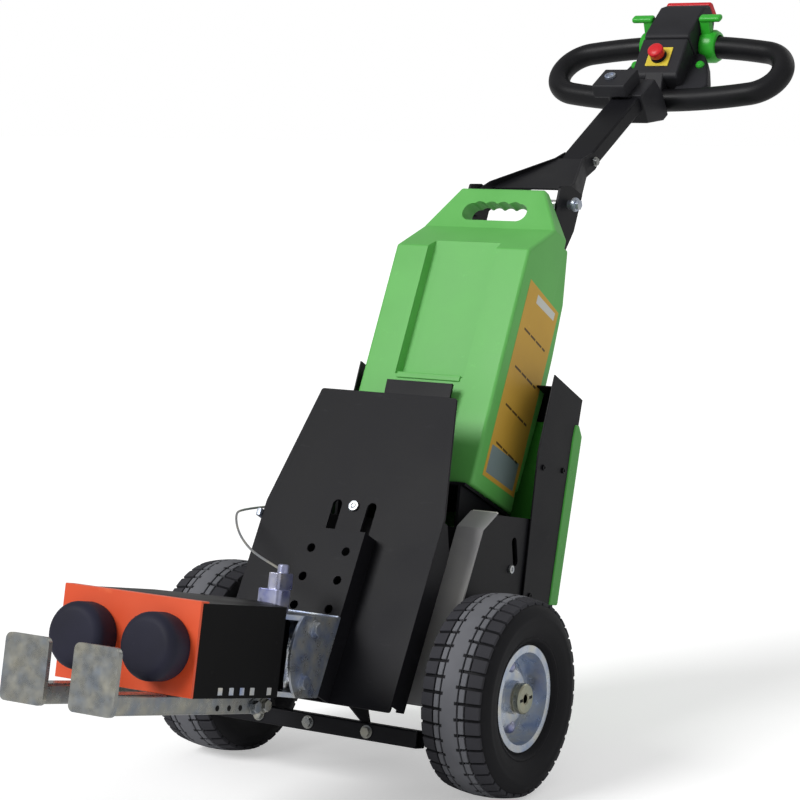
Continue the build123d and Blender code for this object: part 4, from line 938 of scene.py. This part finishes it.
def neck():
    shape = ((-62, 20.5), (-62, -42), (4, -72), (26, -72), (24, -20), (5, 20.5))
    outline = [(ARM_LENGTH + y, z) for y, z in shape]
    piece = side_prism("head_neck_dressed", outline, NECK_HALF, 3, 3, arm)
    fit(piece, "head", "tiller", "head_neck")
    base = facing(arm, -34, ARM_LENGTH - 40, 48.5, "up")
    fit(turned("key_switch", base, KEY_SWITCH, 28, 0.4), "bracket", "tiller")


# Lanyard: the route's points are those of the solid wire, in the machine's frame
LANYARD = ((-176, -38.5, 263.9), (-194, -38.5, 263.9), (-204, -112, 252), (-188, -150, 244),
           (-148, -194, 216), (-96, -232, 192), (-50, -254, 178), (-9.6, -266, 167))
WIRE_DIAMETER = 4


def lanyard():
    route = [machine @ (Vector(point) * MM) for point in LANYARD]
    line = bpy.data.curves.new("pin_wire", "CURVE")
    line.dimensions = "3D"
    line.bevel_depth = WIRE_DIAMETER / 2 * MM
    line.bevel_resolution = 3
    line.use_fill_caps = True
    spline = line.splines.new("NURBS")
    spline.points.add(len(route) - 1)
    for point, place in zip(spline.points, route):
        point.co = (*place, 1)
    spline.order_u = 3
    spline.use_endpoint_u = True
    spline.resolution_u = 10
    wire = bpy.data.objects.new("pin_wire", line)
    bpy.context.scene.collection.objects.link(wire)
    wire.data.materials.append(materials["wire"])
    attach(wire, "root")
    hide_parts("pin_lanyard")
    clamp = block("wire_clamp", plate, (-181, 12, 306), (9, 36, 14), 2)
    fit(clamp, "bracket", "root")


sheet_work()
tyres()
wheel_hardware()
coupling_dress()
plate_hardware()
battery_walls()
label()
cover()
rear_lid()
console()
stop_switch()
throttles()
neck()
lanyard()


# Floor, light and camera
SURROUND_LIGHT = 0.36
FLOOR_GLOW = 0.42


def floor():
    """A pale floor that the camera sees as white, with the object's shadow on it."""
    clear()
    bpy.ops.mesh.primitive_plane_add(size=80, location=(0, 0, 0))
    sheet = bpy.context.object
    sheet.name = "floor"
    paper = Finish("floor_white", 0.95)
    paper.shader.inputs["Base Color"].default_value = (0.9, 0.9, 0.9, 1)
    rays = paper.node("ShaderNodeLightPath")
    glow = paper.node("ShaderNodeMath", operation="MULTIPLY")
    glow.inputs[1].default_value = FLOOR_GLOW
    paper.link(rays.outputs["Is Camera Ray"], glow.inputs[0])
    paper.shader.inputs["Emission Color"].default_value = (1, 1, 1, 1)
    paper.link(glow.outputs[0], paper.shader.inputs["Emission Strength"])
    sheet.data.materials.append(paper.material)


def lamp(name, spot, strength, spread):
    """A distant soft light that shines from a place towards the machine."""
    data = bpy.data.lights.new(name, "SUN")
    data.energy = strength
    data.angle = math.radians(spread)
    holder = bpy.data.objects.new(name, data)
    holder.location = spot
    holder.rotation_euler = (Vector((0, 0, 0.5)) - Vector(spot)).to_track_quat("-Z", "Y").to_euler()
    bpy.context.scene.collection.objects.link(holder)


floor()
lamp("light_key", (-1.8, -4.0, 3.6), 1.9, 25)
lamp("light_side", (4.0, -1.0, 2.0), 0.15, 40)
lamp("light_back", (1.0, 4.0, 3.0), 0.3, 40)



def studio():
    """A white surround for the camera, and a dimmer one that lights the machine."""
    world = bpy.data.worlds.new("studio")
    world.use_nodes = True
    tree = world.node_tree
    background = tree.nodes["Background"]
    background.inputs["Color"].default_value = (1, 1, 1, 1)
    rays = tree.nodes.new("ShaderNodeLightPath")
    seen = tree.nodes.new("ShaderNodeMath")
    seen.operation = "MAXIMUM"
    level = tree.nodes.new("ShaderNodeMapRange")
    level.inputs["To Min"].default_value = SURROUND_LIGHT
    level.inputs["To Max"].default_value = 1.0
    tree.links.new(rays.outputs["Is Camera Ray"], seen.inputs[0])
    tree.links.new(rays.outputs["Is Transmission Ray"], seen.inputs[1])
    tree.links.new(seen.outputs[0], level.inputs["Value"])
    tree.links.new(level.outputs["Result"], background.inputs["Strength"])
    bpy.context.scene.world = world


def camera():
    data = bpy.data.cameras.new("camera")
    data.lens = LENS
    data.sensor_width = 36
    data.clip_end = 100
    holder = bpy.data.objects.new("camera", data)
    holder.location = CAMERA_PLACE
    holder.rotation_euler = (math.radians(90 - CAMERA_DOWN), 0, math.radians(CAMERA_TURN))
    bpy.context.scene.collection.objects.link(holder)
    bpy.context.scene.camera = holder


studio()
camera()
bpy.context.scene.view_settings.view_transform = "Standard"
